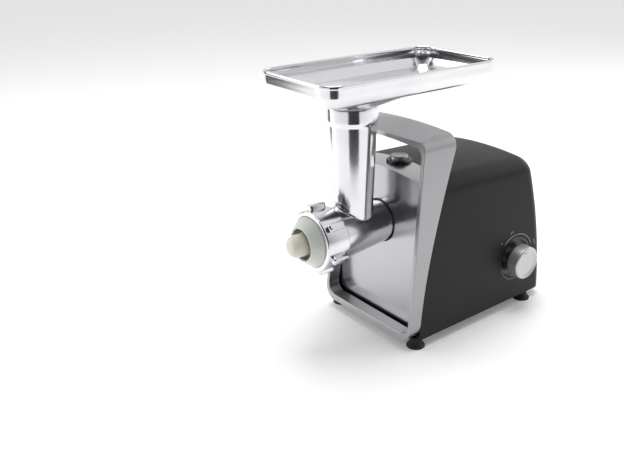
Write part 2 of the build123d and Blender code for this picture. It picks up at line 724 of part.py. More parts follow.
def head_socket():
    ring = turned([(tail_radius + 0.3, flange_y + 4.0), (socket_radius, flange_y + 4.0), (socket_radius, 57.5),
                   (socket_flange_radius, 57.5), (socket_flange_radius, 60.4), (tail_radius + 0.3, 60.4), (tail_radius + 0.3, lug_y1 + 0.4),
                   (lug_radius + 0.4, lug_y1 + 0.4), (lug_radius + 0.4, lug_y0 - 0.3),
                   (tail_radius + 0.3, lug_y0 - 0.3)])
    for middle in (-head_turn_angle, 180 - head_turn_angle):
        slot = sector(tail_radius, lug_radius + 0.4, lug_half_angle + 2.5, middle, 0, barrel_z)
        ring = ring - along_y(slot, flange_y, lug_y0)
    for angle in (45, 135, 225, 315):
        reach = (socket_radius + socket_flange_radius) / 2
        x, z = reach * cos(radians(angle)), barrel_z + reach * sin(radians(angle))
        ring = ring + rod(3.2, 60.0, gearbox_y0, x, z)
    return ring


# ---------------------------------------------------------------- button and latch


def latch_slider():
    """Plate hanging from the button round the head's tail, with a tooth below the tail's notch."""
    lift = button_travel + 1.0
    wide, near = Circle(tail_radius + 5.5), Circle(tail_radius + 1.3)
    outer = make_hull([(Pos(0, barrel_z) * wide).edge(), (Pos(0, barrel_z + lift) * wide).edge()])
    inner = make_hull([(Pos(0, barrel_z) * near).edge(), (Pos(0, barrel_z + lift) * near).edge()])
    tooth = Pos(0, barrel_z - tail_radius - 1.6) * Rectangle(latch_tooth, 2.0)
    strap_low = barrel_z + lift + tail_radius + 4.0
    strap = Pos(0, (strap_low + spring_high_z) / 2) * Rectangle(14, spring_high_z - strap_low)
    plate = along_y((outer - inner) + tooth + strap, slider_y0, slider_y1)
    arm = Pos(0, slider_y0, spring_high_z) * Box(14, button_y + 7 - slider_y0, 2.4,
                                                 align=(Align.CENTER, Align.MIN, Align.MIN))
    return plate + arm


def release_button():
    top = deck_z + button_height
    cap = post(button_radius, deck_z - 6.5, top, 0, button_y)
    cap = fillet(cap.edges().filter_by(GeomType.CIRCLE).sort_by(Axis.Z)[-1], 1.6)
    return cap + post(5.0, spring_high_z + 2.4, deck_z - 6.0, 0, button_y)


def button_bezel():
    ring = post(bezel_radius, deck_z - deck_thick - 1.0, deck_z + bezel_height, 0, button_y)
    ring = fillet(ring.edges().filter_by(GeomType.CIRCLE).sort_by(Axis.Z)[-1], 1.4)
    skirt = post(bezel_radius - 2 - fit_gap, 190, deck_z + 1, 0, button_y)
    blank = ring - (deck_slab(-20) - skirt)
    blank = blank - (Pos(0, 0, deck_z - deck_thick - 0.9) * Box(200, 400, 5, align=(Align.CENTER, Align.CENTER,
                     Align.MAX)))
    kept = blank & (post(bezel_radius, deck_z - 0.6, 260, 0, button_y) + skirt)
    kept = kept - post(button_radius + 0.3, 190, 260, 0, button_y)
    return kept.solids().sort_by(SortBy.VOLUME)[-1]


def button_spring():
    turns_height = spring_high_z - spring_low_z - spring_wire
    helix = Helix(pitch=turns_height / 4.0, height=turns_height, radius=spring_radius - spring_wire / 2)
    wire = Plane(origin=helix @ 0, z_dir=helix % 0) * Circle(spring_wire / 2)
    coil = sweep(wire, path=helix, is_frenet=True)
    return Pos(0, button_y, spring_low_z + spring_wire / 2) * coil


# ---------------------------------------------------------------- knob and switch
def about_x(profile):
    """Solid of revolution about the knob's axis; the profile is (x, radius)."""
    return Pos(0, knob_y, knob_z) * revolve(outline(*profile), Axis.X)


dish_rim_x = half_width(knob_z)
dish_floor_x = dish_rim_x - dish_depth


def control_knob():
    skirt = knob_radius + 0.6
    return about_x([(dish_floor_x + 0.6, spindle_radius), (dish_floor_x + 0.6, 11.0), (knob_back_x, 12.5),
                    (knob_back_x, skirt - 1.0), (knob_back_x + 1.2, skirt), (knob_face_x - 1.6, knob_radius - 0.4),
                    (knob_face_x, knob_radius - 2.0), (knob_face_x - 1.6, knob_radius - 6.0),
                    (knob_face_x - 2.2, 0), (knob_face_x - 6.0, 0), (knob_face_x - 6.0, spindle_radius)])


def knob_dish():
    rim = dish_radius - fit_gap
    dish = about_x([(dish_floor_x - 2.0, spindle_radius + 0.4), (dish_floor_x - 2.0, rim), (dish_rim_x + 4, rim),
                    (dish_rim_x + 4, rim - 1.0), (dish_floor_x + 1.2, rim - 5.5), (dish_floor_x, rim - 8.5),
                    (dish_floor_x, spindle_radius + 0.4)])
    return dish & body_block(0, base_z)


def switch_spindle():
    return about_x([(dish_floor_x - 16, 0), (dish_floor_x - 16, spindle_radius),
                    (knob_face_x - 6.0, spindle_radius), (knob_face_x - 6.0, 0)])


def rotary_switch():
    back = dish_floor_x - 2.0
    box = Pos(back - 22, knob_y, knob_z) * Box(22, 28, 28, align=(Align.MIN, Align.CENTER, Align.CENTER))
    bore = about_x([(back - 15, 0), (back - 15, spindle_radius + running), (back + 1, spindle_radius + running),
                    (back + 1, 0)])
    tabs = [Pos(back - 22, knob_y + dy, knob_z) * Box(7, 5, 0.8, align=(Align.MAX, Align.CENTER, Align.CENTER))
            for dy in (-8, 0, 8)]
    return box - bore + tabs


# ---------------------------------------------------------------- motor
def at_motor(sketch, y0, y1):
    return along_y(Pos(*motor_centre) * sketch, y0, y1)


def coil_angles():
    return (90, 270)


def motor_stator():
    blank = RectangleRounded(stator_width, stator_height, 9) - Circle(armature_radius + air_gap)
    core = at_motor(blank, stator_y0, stator_y1)
    for middle in coil_angles():
        for side in (-1, 1):
            slot = sector(coil_inner - 0.2, coil_outer + 0.2, 11.5, middle + side * 46)
            core = core - at_motor(slot, stator_y0 - 1, stator_y1 + 1)
    for x, z in bolt_places():
        core = core - rod(2.0, 100, 200, x, z)
    return core


def bolt_places():
    return [(motor_x + side * (stator_width / 2 - 5.0), motor_z + side * (stator_height / 2 - 5.0))
            for side in (-1, 1)]


def field_coils():
    coils = []
    for middle in coil_angles():
        whole = at_motor(sector(coil_inner, coil_outer, 57, middle), stator_y0 - coil_end, stator_y1 + coil_end)
        gap = at_motor(sector(coil_inner - 1, coil_outer + 1, 35.0, middle), stator_y0 - 0.2, stator_y1 + 0.2)
        coils.append(whole - gap)
    return Compound(coils)


def armature_core():
    core = Circle(armature_radius) - Circle(motor_shaft_radius)
    for i in range(12):
        core = core - Rot(0, 0, i * 30) * (Pos(15.5, 0) * RectangleRounded(8.4, 3.4, 1.5))
        core = core - Rot(0, 0, i * 30) * (Pos(20, 0) * Rectangle(4, 1.2))
    return at_motor(core, stator_y0 + 1, stator_y1 - 1)


def armature_winding():
    front = [(4.2, stator_y0 - 5), (12, stator_y0 - 5), (18.5, stator_y0 - 2), (19.0, stator_y0 + 1),
             (4.2, stator_y0 + 1)]
    rear = [(4.2, stator_y1 + 6), (12, stator_y1 + 6), (18.5, stator_y1 + 2), (19.0, stator_y1 - 1),
            (4.2, stator_y1 - 1)]
    winding = turned(front, *motor_centre) + turned(rear, *motor_centre)
    for i in range(12):
        bar = Rot(0, 0, i * 30) * (Pos(15.5, 0) * RectangleRounded(8.0, 3.0, 1.3))
        winding = winding + at_motor(bar, stator_y0 + 1, stator_y1 - 1)
    return winding


def motor_shaft():
    shaft = rod(motor_shaft_radius, gearbox_y1 + gearbox_wall + 0.6, rear_bearing_y + bearing_width, *motor_centre)
    return shaft + rod(pinion_shaft_radius, first_gear_y - 1, gearbox_y1 + gearbox_wall + 1, *motor_centre)


def commutator():
    ring = Circle(commutator_radius) - Circle(motor_shaft_radius)
    for i in range(24):
        ring = ring - Rot(0, 0, i * 15) * (Pos(commutator_radius, 0) * Rectangle(1.4, 0.5))
    return at_motor(ring, commutator_y0, commutator_y1)


def cooling_fan():
    fan = at_motor(Circle(fan_radius) - Circle(motor_shaft_radius), fan_y, fan_y + 1.2)
    fan = fan - at_motor(Circle(coil_outer + 1) - Circle(14), fan_y + 0.8, fan_y + 9)
    for i in range(11):
        blade = Rot(0, 0, i * 360 / 11) * (Pos(21, 3) * (Rot(0, 0, 25) * Rectangle(13, 1.2)))
        fan = fan + at_motor(blade, fan_y - 2.6, fan_y + 0.4)
    return fan


def motor_bearing(y):
    ring = Circle(bearing_radius) - Circle(motor_shaft_radius + 0.02)
    return at_motor(ring, y, y + bearing_width)


def motor_front_bracket():
    y0 = gearbox_y1 + gearbox_wall
    plate = RectangleRounded(stator_width, stator_height, 9) - Circle(31.5)
    spokes = Rectangle(stator_width - 2, 9) + Rectangle(9, stator_height - 2)
    spokes = spokes & Circle(34)
    bracket = at_motor(plate, y0, stator_y0) + at_motor(spokes, y0, y0 + 3.5)
    bracket = bracket + at_motor(Circle(bearing_radius + 2.5), y0, front_bearing_y + 5)
    bracket = bracket - at_motor(Circle(bearing_radius), front_bearing_y, 200)
    bracket = bracket - at_motor(Circle(motor_shaft_radius + 1), 90, 200)
    for x, z in bolt_places():
        bracket = bracket - rod(2.0, y0 - 1, 200, x, z)
    return bracket


def motor_rear_bracket():
    y0, y1 = stator_y1, rear_bearing_y
    plate = RectangleRounded(stator_width, stator_height, 9) - Circle(31.5)
    bridge = Rectangle(26, stator_height) & RectangleRounded(stator_width, stator_height, 9)
    bracket = at_motor(plate, y0, y0 + 12) + at_motor(bridge, y1 - 1, y1 + bearing_width + 1)
    legs = bridge - Rectangle(30, stator_height - 8)
    bracket = bracket + at_motor(legs, y0 + 11, y1)
    bracket = bracket - at_motor(Circle(bearing_radius), 100, y1 + bearing_width)
    floor = base_z + 4.5
    stand = Rectangle(30, motor_z - stator_height / 2 + 2 - floor, align=(Align.CENTER, Align.MIN))
    bracket = bracket + along_y(Pos(motor_x, floor) * stand, y0 + 2, y0 + 10)
    for x, z in bolt_places():
        bracket = bracket - rod(2.0, 100, 260, x, z)
    return bracket


def motor_bolts():
    bolts = []
    for x, z in bolt_places():
        head_y = stator_y1 + 12
        bolts.append(rod(2.0, gearbox_y1 + gearbox_wall, head_y, x, z) + rod(4.0, head_y, head_y + 3, x, z))
    return Compound(bolts)


def brush_holder_at(side):
    start = commutator_radius + 2.0
    middle = (commutator_y0 + commutator_y1) / 2
    tube = Pos(start, 0, 0) * Box(20, 9, 9, align=(Align.MIN, Align.CENTER, Align.CENTER))
    tube = tube - Box(60, 6.2, 6.2)
    return Pos(motor_x, middle, motor_z) * Rot(0, 0, 0 if side > 0 else 180) * tube


def brush_at(side):
    blank = Pos(commutator_radius - 2, 0, 0) * Box(16, 6, 6, align=(Align.MIN, Align.CENTER, Align.CENTER))
    middle = (commutator_y0 + commutator_y1) / 2
    blank = Pos(motor_x, middle, motor_z) * Rot(0, 0, 0 if side > 0 else 180) * blank
    return blank - rod(commutator_radius + running, commutator_y0 - 5, commutator_y1 + 5, *motor_centre)


# ---------------------------------------------------------------- board and cord inlet
def control_board():
    board = Pos(board_x, board_y, board_z) * Box(board_long, board_wide, 1.6,
                                                 align=(Align.CENTER, Align.CENTER, Align.MIN))
    top = board_z + 1.6
    capacitor = post(7.0, top, top + 18, board_x - 16, board_y)
    choke = Pos(board_x + 6, board_y + 6, top) * Box(14, 12, 12, align=(Align.CENTER, Align.CENTER, Align.MIN))
    triac = Pos(board_x + 20, board_y - 8, top) * Box(10, 4.5, 16, align=(Align.CENTER, Align.CENTER, Align.MIN))
    return Compound([board, capacitor, choke, triac])


def cord_inlet():
    sleeve = rod(inlet_radius - fit_gap / 2, rear_y - 12, rear_y + 3.5, inlet_x, inlet_z)
    collar = rod(inlet_radius + 2.5, rear_y - 10, rear_y + 3.0, inlet_x, inlet_z) - body_block(0, base_z)
    return (sleeve + collar) - rod(inlet_bore, 200, 300, inlet_x, inlet_z)


# ---------------------------------------------------------------- all nodes
nodes = {
    "main_shell": main_shell(), "base_plate": base_plate(), "front_frame": front_frame(),
    "front_panel": front_panel(), "top_deck": top_deck(), "button_bezel": button_bezel(),
    "knob_dish": knob_dish(), "rotary_switch": rotary_switch(), "cord_inlet": cord_inlet(),
    "base_screws": base_screws(), "control_board": control_board(), "head_socket": head_socket(),
    "gearbox_cover": gearbox_cover(), "gearbox_housing": gearbox_housing(),
    "gearbox_screws": gearbox_screws(), "gear_pins": gear_pins(), "output_bearing": output_bearing(),
    "motor_stator": motor_stator(), "field_coils": field_coils(),
    "motor_front_bracket": motor_front_bracket(), "motor_rear_bracket": motor_rear_bracket(),
    "motor_front_bearing": motor_bearing(front_bearing_y), "motor_rear_bearing": motor_bearing(rear_bearing_y),
    "motor_bolts": motor_bolts(),
    "brush_holders": Compound([brush_holder_at(1), brush_holder_at(-1)]),
    "carbon_brushes": Compound([brush_at(1), brush_at(-1)]),
    "release_button": release_button(), "latch_slider": latch_slider(), "button_spring": button_spring(),
    "control_knob": control_knob(), "switch_spindle": switch_spindle(),
    "output_gear": output_gear(), "output_shaft": output_shaft(), "drive_bush": drive_bush(),
    "auger": auger(), "second_wheel": second_wheel(), "second_pinion": second_pinion(),
    "first_wheel": first_wheel(), "first_pinion": first_pinion(),
    "motor_shaft": motor_shaft(), "motor_pinion": motor_pinion(), "armature_core": armature_core(),
    "armature_winding": armature_winding(), "commutator": commutator(), "cooling_fan": cooling_fan(),
    "grinding_head": grinding_head(), "head_bush": head_bush(), "kebbe_core": kebbe_core(),
    "kebbe_nozzle": nozzle(), "ring_nut": ring_nut(), "food_tray": food_tray(),
}
for row in feet_places:
    for side, hand in ((-1, "left"), (1, "right")):
        nodes[f"foot_{row}_{hand}"] = foot(side, row)

middle_x = (knob_face_x - body_half_width) / 2
middle_y = (rear_y + 3.5 + core_tip_y) / 2
os.makedirs("parts", exist_ok=True)
for name, shape in nodes.items():
    export_step(Pos(-middle_x, -middle_y, 0) * shape, f"parts/{name}.step")
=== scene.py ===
"""Electric meat grinder with a kebbe nozzle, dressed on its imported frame."""

import json
import logging
import math
from abc import ABC, abstractmethod
from collections.abc import Iterable, Mapping, Sequence
from dataclasses import dataclass, field
from enum import Enum
from typing import Any

import bmesh
import bpy
import numpy as np
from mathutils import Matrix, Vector

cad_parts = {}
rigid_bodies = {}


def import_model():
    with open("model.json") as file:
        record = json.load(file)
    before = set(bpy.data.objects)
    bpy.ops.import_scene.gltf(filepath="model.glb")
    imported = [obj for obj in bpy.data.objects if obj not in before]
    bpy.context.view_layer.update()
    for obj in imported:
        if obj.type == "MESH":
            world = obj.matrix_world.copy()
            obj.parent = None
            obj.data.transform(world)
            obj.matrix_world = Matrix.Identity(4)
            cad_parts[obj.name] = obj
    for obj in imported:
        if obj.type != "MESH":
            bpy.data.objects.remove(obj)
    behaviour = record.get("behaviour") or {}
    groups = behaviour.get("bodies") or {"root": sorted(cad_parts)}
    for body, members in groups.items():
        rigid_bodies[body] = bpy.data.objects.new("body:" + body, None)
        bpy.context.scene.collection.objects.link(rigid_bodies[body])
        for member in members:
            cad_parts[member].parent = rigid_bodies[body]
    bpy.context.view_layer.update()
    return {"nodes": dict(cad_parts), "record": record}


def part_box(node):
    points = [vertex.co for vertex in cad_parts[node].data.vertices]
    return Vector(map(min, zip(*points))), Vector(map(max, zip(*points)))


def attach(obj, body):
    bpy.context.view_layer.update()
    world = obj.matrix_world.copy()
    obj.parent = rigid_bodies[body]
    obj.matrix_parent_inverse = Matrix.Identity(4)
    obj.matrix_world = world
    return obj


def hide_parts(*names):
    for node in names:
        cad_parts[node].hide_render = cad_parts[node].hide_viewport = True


LOG = logging.getLogger("grinder")
MM = 0.001
Colour = tuple[float, float, float]


class Axis(Enum):
    """Direction that a turned form or a ring of copies goes round."""

    X = 0
    Y = 1
    Z = 2


class Lay(Enum):
    """How the marks of a tool run over a metal."""

    NONE = (1.0, 1.0, 1.0)
    LENGTHWISE = (14.0, 1.0, 14.0)
    UPRIGHT = (10.0, 10.0, 0.6)
    ACROSS = (1.0, 12.0, 12.0)


# ---------------------------------------------------------------- shared places
@dataclass(frozen=True)
class Places:
    """Lines that the sub-assemblies share, in millimetres about the neck's axis on the floor.

    Args:
        origin: the neck's axis on the floor, in metres in the frame.
        barrel_z: height of the barrel's axis.
        knob_y: the knob's axis along the body.
        knob_z: the knob's axis above the floor.
        button_y: the button's axis along the body.
    """

    origin: tuple[float, float, float]
    barrel_z: float
    knob_y: float
    knob_z: float
    button_y: float

    @classmethod
    def read(cls, record: Mapping[str, Any]) -> "Places":
        """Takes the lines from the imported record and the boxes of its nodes.

        Args:
            record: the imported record.

        Returns:
            The places of this object.
        """
        throat = next(m for m in record["mounts"] if m["name"] == "tray_throat")
        origin = (centre_of("front_frame")[0], throat["pos_m"][1], 0.0)
        return cls(
            origin=origin,
            barrel_z=centre_of("kebbe_nozzle")[2] / MM,
            knob_y=(centre_of("control_knob")[1] - origin[1]) / MM,
            knob_z=centre_of("control_knob")[2] / MM,
            button_y=(centre_of("release_button")[1] - origin[1]) / MM,
        )

    def row(self, points: np.ndarray) -> np.ndarray:
        """Points of the design, in millimetres, as metres in the frame."""
        return np.asarray(points, float) * MM + np.array(self.origin)


def centre_of(node: str) -> Vector:
    """Middle of a node's box, in metres."""
    low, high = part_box(node)
    return (low + high) / 2


# ---------------------------------------------------------------- outlines
def rounded(corners: Sequence[tuple[float, float, float]], steps: int = 6, closed: bool = True) -> np.ndarray:
    """Turns each corner of a polygon into an arc.

    Args:
        corners: (a, b, radius) of each corner.
        steps: chords in each arc.
        closed: whether the last corner joins the first.

    Returns:
        The points, as an array of shape (n, 2).
    """
    points: list[np.ndarray] = []
    last = len(corners) - 1
    for i, (a, b, radius) in enumerate(corners):
        corner = np.array((a, b), float)
        if radius <= 0 or (not closed and i in (0, last)):
            points.append(corner)
            continue
        before = np.array(corners[i - 1][:2], float) - corner
        after = np.array(corners[(i + 1) % len(corners)][:2], float) - corner
        before, after = before / np.linalg.norm(before), after / np.linalg.norm(after)
        half = math.acos(float(np.clip(before @ after, -1, 1))) / 2
        middle = (before + after) / np.linalg.norm(before + after)
        centre = corner + middle * radius / math.sin(half)
        start = corner + before * radius / math.tan(half) - centre
        end = corner + after * radius / math.tan(half) - centre
        first = math.atan2(start[1], start[0])
        turn = (math.atan2(end[1], end[0]) - first + math.pi) % (2 * math.pi) - math.pi
        for k in range(steps + 1):
            angle = first + turn * k / steps
            points.append(centre + radius * np.array((math.cos(angle), math.sin(angle))))
    return np.array(points)


def subdivided(points: np.ndarray, parts: Mapping[int, int]) -> np.ndarray:
    """Cuts chosen stretches of a line into equal parts.

    Args:
        points: the line's points.
        parts: how many parts the stretch after each named point gets.

    Returns:
        The line with the new points in it.
    """
    made: list[np.ndarray] = []
    for i, point in enumerate(points):
        made.append(point)
        after = points[(i + 1) % len(points)]
        made += [point + (after - point) * k / parts.get(i, 1) for k in range(1, parts.get(i, 1))]
    return np.array(made)


def through(knots: Sequence[tuple[float, float]], at: np.ndarray) -> np.ndarray:
    """Natural cubic line through knots, straight beyond its ends.

    Args:
        knots: (value, place) pairs, with rising places.
        at: the places to read.

    Returns:
        The value at each place.
    """
    values, places = np.array(knots, float).T
    gaps, count = np.diff(places), len(knots)
    system, right = np.eye(count), np.zeros(count)
    for i in range(1, count - 1):
        system[i, i - 1 : i + 2] = gaps[i - 1], 2 * (gaps[i - 1] + gaps[i]), gaps[i]
        right[i] = 3 * ((values[i + 1] - values[i]) / gaps[i] - (values[i] - values[i - 1]) / gaps[i - 1])
    bend = np.linalg.solve(system, right)
    inside = np.clip(at, places[0], places[-1])
    i = np.clip(np.searchsorted(places, inside) - 1, 0, count - 2)
    slope = np.diff(values)[i] / gaps[i] - gaps[i] * (2 * bend[i] + bend[i + 1]) / 3
    d = inside - places[i]
    read = values[i] + slope * d + bend[i] * d**2 + (bend[i + 1] - bend[i]) / (3 * gaps[i]) * d**3
    end = np.diff(values)[-1] / gaps[-1]
    return read + np.where(at > places[-1], (at - places[-1]) * end * 0.12, 0)


# ---------------------------------------------------------------- forms
@dataclass
class Form:
    """Faces gathered in millimetres about the neck's axis on the floor."""

    points: list[np.ndarray] = field(default_factory=list)
    faces: list[tuple[int, ...]] = field(default_factory=list)
    count: int = 0

    def add(self, points: np.ndarray, faces: Iterable[Sequence[int]]) -> "Form":
        """Adds faces that number their own points from 0."""
        self.faces += [tuple(i + self.count for i in face) for face in faces]
        self.points.append(np.asarray(points, float))
        self.count += len(points)
        return self

    def grid(self, rows: np.ndarray, round_rows: bool = False, round_columns: bool = False) -> "Form":
        """Adds a sheet of quads.

        Args:
            rows: points of shape (rows, columns, 3).
            round_rows: whether the last row joins the first.
            round_columns: whether the last column joins the first.

        Returns:
            This form.
        """
        down, across = rows.shape[:2]
        faces = [
            (i * across + j, i * across + (j + 1) % across,
             (i + 1) % down * across + (j + 1) % across, (i + 1) % down * across + j)
            for i in range(down if round_rows else down - 1)
            for j in range(across if round_columns else across - 1)
        ]
        return self.add(rows.reshape(-1, 3), faces)

    def turned(self, profile: np.ndarray, axis: Axis, centre: tuple[float, float], segments: int = 128) -> "Form":
        """Adds a closed profile turned about a line.

        Args:
            profile: (radius, place along the line) of each point.
            axis: the line's direction.
            centre: where the line stands, as its other two coordinates in order.
            segments: steps round the line.

        Returns:
            This form.
        """
        angles = np.arange(segments) * 2 * np.pi / segments
        radius, along = np.asarray(profile, float).T
        first = centre[0] + np.outer(np.cos(angles), radius)
        second = centre[1] + np.outer(np.sin(angles), radius)
        third = np.broadcast_to(along, first.shape)
        order = {Axis.X: (third, first, second), Axis.Y: (first, third, second), Axis.Z: (first, second, third)}
        return self.grid(np.stack(order[axis], axis=-1), True, True)

    def stacked(self, rings: Sequence[np.ndarray]) -> "Form":
        """Adds a closed loft through rings of equal length, with a fan at each end."""
        first, last = np.asarray(rings[0], float), np.asarray(rings[-1], float)
        middle = [np.broadcast_to(r.mean(axis=0), r.shape) for r in (first, last)]
        return self.grid(np.stack([middle[0], *rings, middle[1]]), False, True)

    def box(self, low: Sequence[float], high: Sequence[float]) -> "Form":
        """Adds a plain block between two corners."""
        corners = [(x, y, z) for x in (low[0], high[0]) for y in (low[1], high[1]) for z in (low[2], high[2])]
        faces = [(0, 1, 3, 2), (4, 6, 7, 5), (0, 4, 5, 1), (2, 3, 7, 6), (0, 2, 6, 4), (1, 5, 7, 3)]
        return self.add(np.array(corners), faces)

    def made(self, name: str, places: Places | None, outward_up: bool = False) -> bpy.types.Object:
        """Makes the object, with doubles merged and faces turned outwards.

        Args:
            name: the object's name.
            places: the frame's places, or None to leave the points about their own origin.
            outward_up: for an open sheet, turns it so that its highest face looks up.

        Returns:
            The new object.
        """
        points = np.concatenate(self.points)
        mesh = bpy.data.meshes.new(name)
        mesh.from_pydata((places.row(points) if places else points * MM).tolist(), [], self.faces)
        work = bmesh.new()
        work.from_mesh(mesh)
        bmesh.ops.remove_doubles(work, verts=work.verts, dist=2e-6)
        bmesh.ops.dissolve_degenerate(work, edges=work.edges, dist=1e-6)
        bmesh.ops.recalc_face_normals(work, faces=work.faces)
        if outward_up and max(work.faces, key=lambda f: f.calc_center_median().z).normal.z < 0:
            bmesh.ops.reverse_faces(work, faces=work.faces)
        work.to_mesh(mesh)
        work.free()
        made = bpy.data.objects.new(name, mesh)
        bpy.context.scene.collection.objects.link(made)
        return made


def merged_copy(node: str, name: str) -> bpy.types.Object:
    """Copies a node's shape with its loose triangles merged into whole faces.

    Args:
        node: the node to copy.
        name: the copy's name.

    Returns:
        The new object.
    """
    work = bmesh.new()
    work.from_mesh(bpy.data.objects[node].data)
    bmesh.ops.remove_doubles(work, verts=work.verts, dist=1e-6)
    bmesh.ops.dissolve_limit(work, angle_limit=math.radians(0.4), verts=work.verts, edges=work.edges)
    mesh = bpy.data.meshes.new(name)
    work.to_mesh(mesh)
    work.free()
    made = bpy.data.objects.new(name, mesh)
    bpy.context.scene.collection.objects.link(made)
    return made


# ---------------------------------------------------------------- finishing a piece
def baked(piece: bpy.types.Object) -> bpy.types.Object:
    """Turns a piece's modifiers into plain mesh and takes them off."""
    bpy.context.view_layer.update()
    graph = bpy.context.evaluated_depsgraph_get()
    mesh = bpy.data.meshes.new_from_object(piece.evaluated_get(graph))
    piece.modifiers.clear()
    piece.data = mesh
    return piece


def eased(piece: bpy.types.Object, width: float, segments: int = 3, angle: float = 32.0) -> bpy.types.Object:
    """Rounds a piece's sharp edges.

    Args:
        piece: the piece.
        width: how far the rounding reaches from the edge, in millimetres.
        segments: chords across the rounding.
        angle: edges that turn by more than this are rounded, in degrees.

    Returns:
        The piece, with plain mesh.
    """
    bevel = piece.modifiers.new("ease", "BEVEL")
    bevel.width, bevel.segments = width * MM, segments
    bevel.limit_method, bevel.angle_limit = "ANGLE", math.radians(angle)
    bevel.miter_outer, bevel.use_clamp_overlap = "MITER_ARC", True
    return baked(piece)


def cut(piece: bpy.types.Object, tool: Form, places: Places) -> bpy.types.Object:
    """Takes a form away from a piece.

    Args:
        piece: the piece.
        tool: the form to take away.
        places: the frame's places.

    Returns:
        The piece, with plain mesh.
    """
    blade = tool.made("blade", places)
    boolean = piece.modifiers.new("cut", "BOOLEAN")
    boolean.operation, boolean.solver, boolean.object = "DIFFERENCE", "EXACT", blade
    baked(piece)
    bpy.data.objects.remove(blade)
    return piece


def smooth(piece: bpy.types.Object, angle: float = 40.0) -> bpy.types.Object:
    """Shades a piece smooth, except where it turns by more than the angle."""
    piece.data.shade_smooth()
    piece.data.set_sharp_from_angle(angle=math.radians(angle))
    return piece


def even_faces(piece: bpy.types.Object) -> bpy.types.Object:
    """Lets the large faces of a piece set its shading, so that they stay flat."""
    smooth(piece)
    weighted = piece.modifiers.new("even", "WEIGHTED_NORMAL")
    weighted.keep_sharp, weighted.weight = True, 80
    return baked(piece)


# ---------------------------------------------------------------- shader maths
class Signal:
    """A socket that takes part in Python expressions."""

    def __init__(self, recipe: "Recipe", socket: bpy.types.NodeSocket) -> None:
        """Wraps a socket of a recipe's tree."""
        self.recipe = recipe
        self.socket = socket

    def _maths(self, operation: str, left: Any, right: Any) -> "Signal":
        """Adds one Math node."""
        return self.recipe.node("ShaderNodeMath", {"operation": operation}, {0: left, 1: right})

    def __add__(self, other: Any) -> "Signal":
        """Sum."""
        return self._maths("ADD", self, other)

    __radd__ = __add__

    def __sub__(self, other: Any) -> "Signal":
        """Difference."""
        return self._maths("SUBTRACT", self, other)

    def __rsub__(self, other: Any) -> "Signal":
        """Difference from a number."""
        return self._maths("SUBTRACT", other, self)

    def __mul__(self, other: Any) -> "Signal":
        """Product."""
        return self._maths("MULTIPLY", self, other)

    __rmul__ = __mul__


class Recipe:
    """The node tree of one material."""

    def __init__(self, name: str) -> None:
        """Starts a material with its shader ready."""
        self.material = bpy.data.materials.new(name)
        self.material.use_nodes = True
        self.tree = self.material.node_tree
        self.shader = self.tree.nodes["Principled BSDF"]
        self.position = self.node("ShaderNodeTexCoord", {}, {}, "Object")

    def put(self, socket: bpy.types.NodeSocket, value: Any) -> None:
        """Sets a socket to a value, or links a signal to it."""
        if isinstance(value, Signal):
            self.tree.links.new(value.socket, socket)
        elif isinstance(value, tuple) and len(value) == 3 and socket.type == "RGBA":
            socket.default_value = (*value, 1.0)
        else:
            socket.default_value = value

    def node(self, kind: str, settings: Mapping[str, Any], inputs: Mapping[int | str, Any],
             out: int | str = 0) -> Signal:
        """Adds a node.

        Args:
            kind: the node's type.
            settings: its own settings, which are set first.
            inputs: values or signals by socket number or name.
            out: the output to hand on.

        Returns:
            The chosen output.
        """
        made = self.tree.nodes.new(kind)
        for key, value in settings.items():
            setattr(made, key, value)
        for key, value in inputs.items():
            self.put(made.inputs[key], value)
        return Signal(self, made.outputs[out])

    def noise(self, size: float, detail: float = 2.0, stretch: tuple[float, float, float] = (1, 1, 1)) -> Signal:
        """Cloudy pattern from 0 to 1.

        Args:
            size: width of one cloud in millimetres.
            detail: how many finer layers it has.
            stretch: how much finer it is along each axis.

        Returns:
            The pattern.
        """
        place = self.position
        if tuple(stretch) != (1, 1, 1):
            place = self.node("ShaderNodeVectorMath", {"operation": "MULTIPLY"}, {0: place, 1: tuple(stretch)})
        return self.node("ShaderNodeTexNoise", {"noise_dimensions": "3D"},
                         {"Vector": place, "Scale": 1 / (size * MM), "Detail": detail, "Roughness": 0.55})

    def bands(self, pitch: float, axis: str, bend: float = 0.0) -> Signal:
        """Even lines from 0 to 1.

        Args:
            pitch: distance between two lines in millimetres.
            axis: X, Y or Z, the way across the lines.
            bend: how far the lines wander.

        Returns:
            The pattern.
        """
        return self.node("ShaderNodeTexWave", {"wave_type": "BANDS", "bands_direction": axis},
                         {"Vector": self.position, "Scale": 2 * math.pi / (20 * pitch * MM), "Distortion": bend,
                          "Detail": 1.0}, "Fac")

    def mixed(self, share: Signal | float, first: Any, second: Any) -> Signal:
        """Colour that goes from first to second as share goes from 0 to 1."""
        return self.node("ShaderNodeMix", {"data_type": "RGBA"}, {0: share, 6: first, 7: second}, 2)

    def spread(self, pattern: Signal, low: float, high: float) -> Signal:
        """Pattern stretched so that low becomes 0 and high becomes 1, held there."""
        return self.node("ShaderNodeMapRange", {"clamp": True}, {0: pattern, 1: low, 2: high})

    def relief(self, height: Signal, depth: float, strength: float = 1.0) -> Signal:
        """Bump of the given depth in millimetres."""
        return self.node("ShaderNodeBump", {}, {"Strength": strength, "Distance": depth * MM, "Height": height})

    def set(self, **sockets: Any) -> None:
        """Fills the shader's sockets, named with _ for a space."""
        for name, value in sockets.items():
            self.put(self.shader.inputs[name.replace("_", " ")], value)


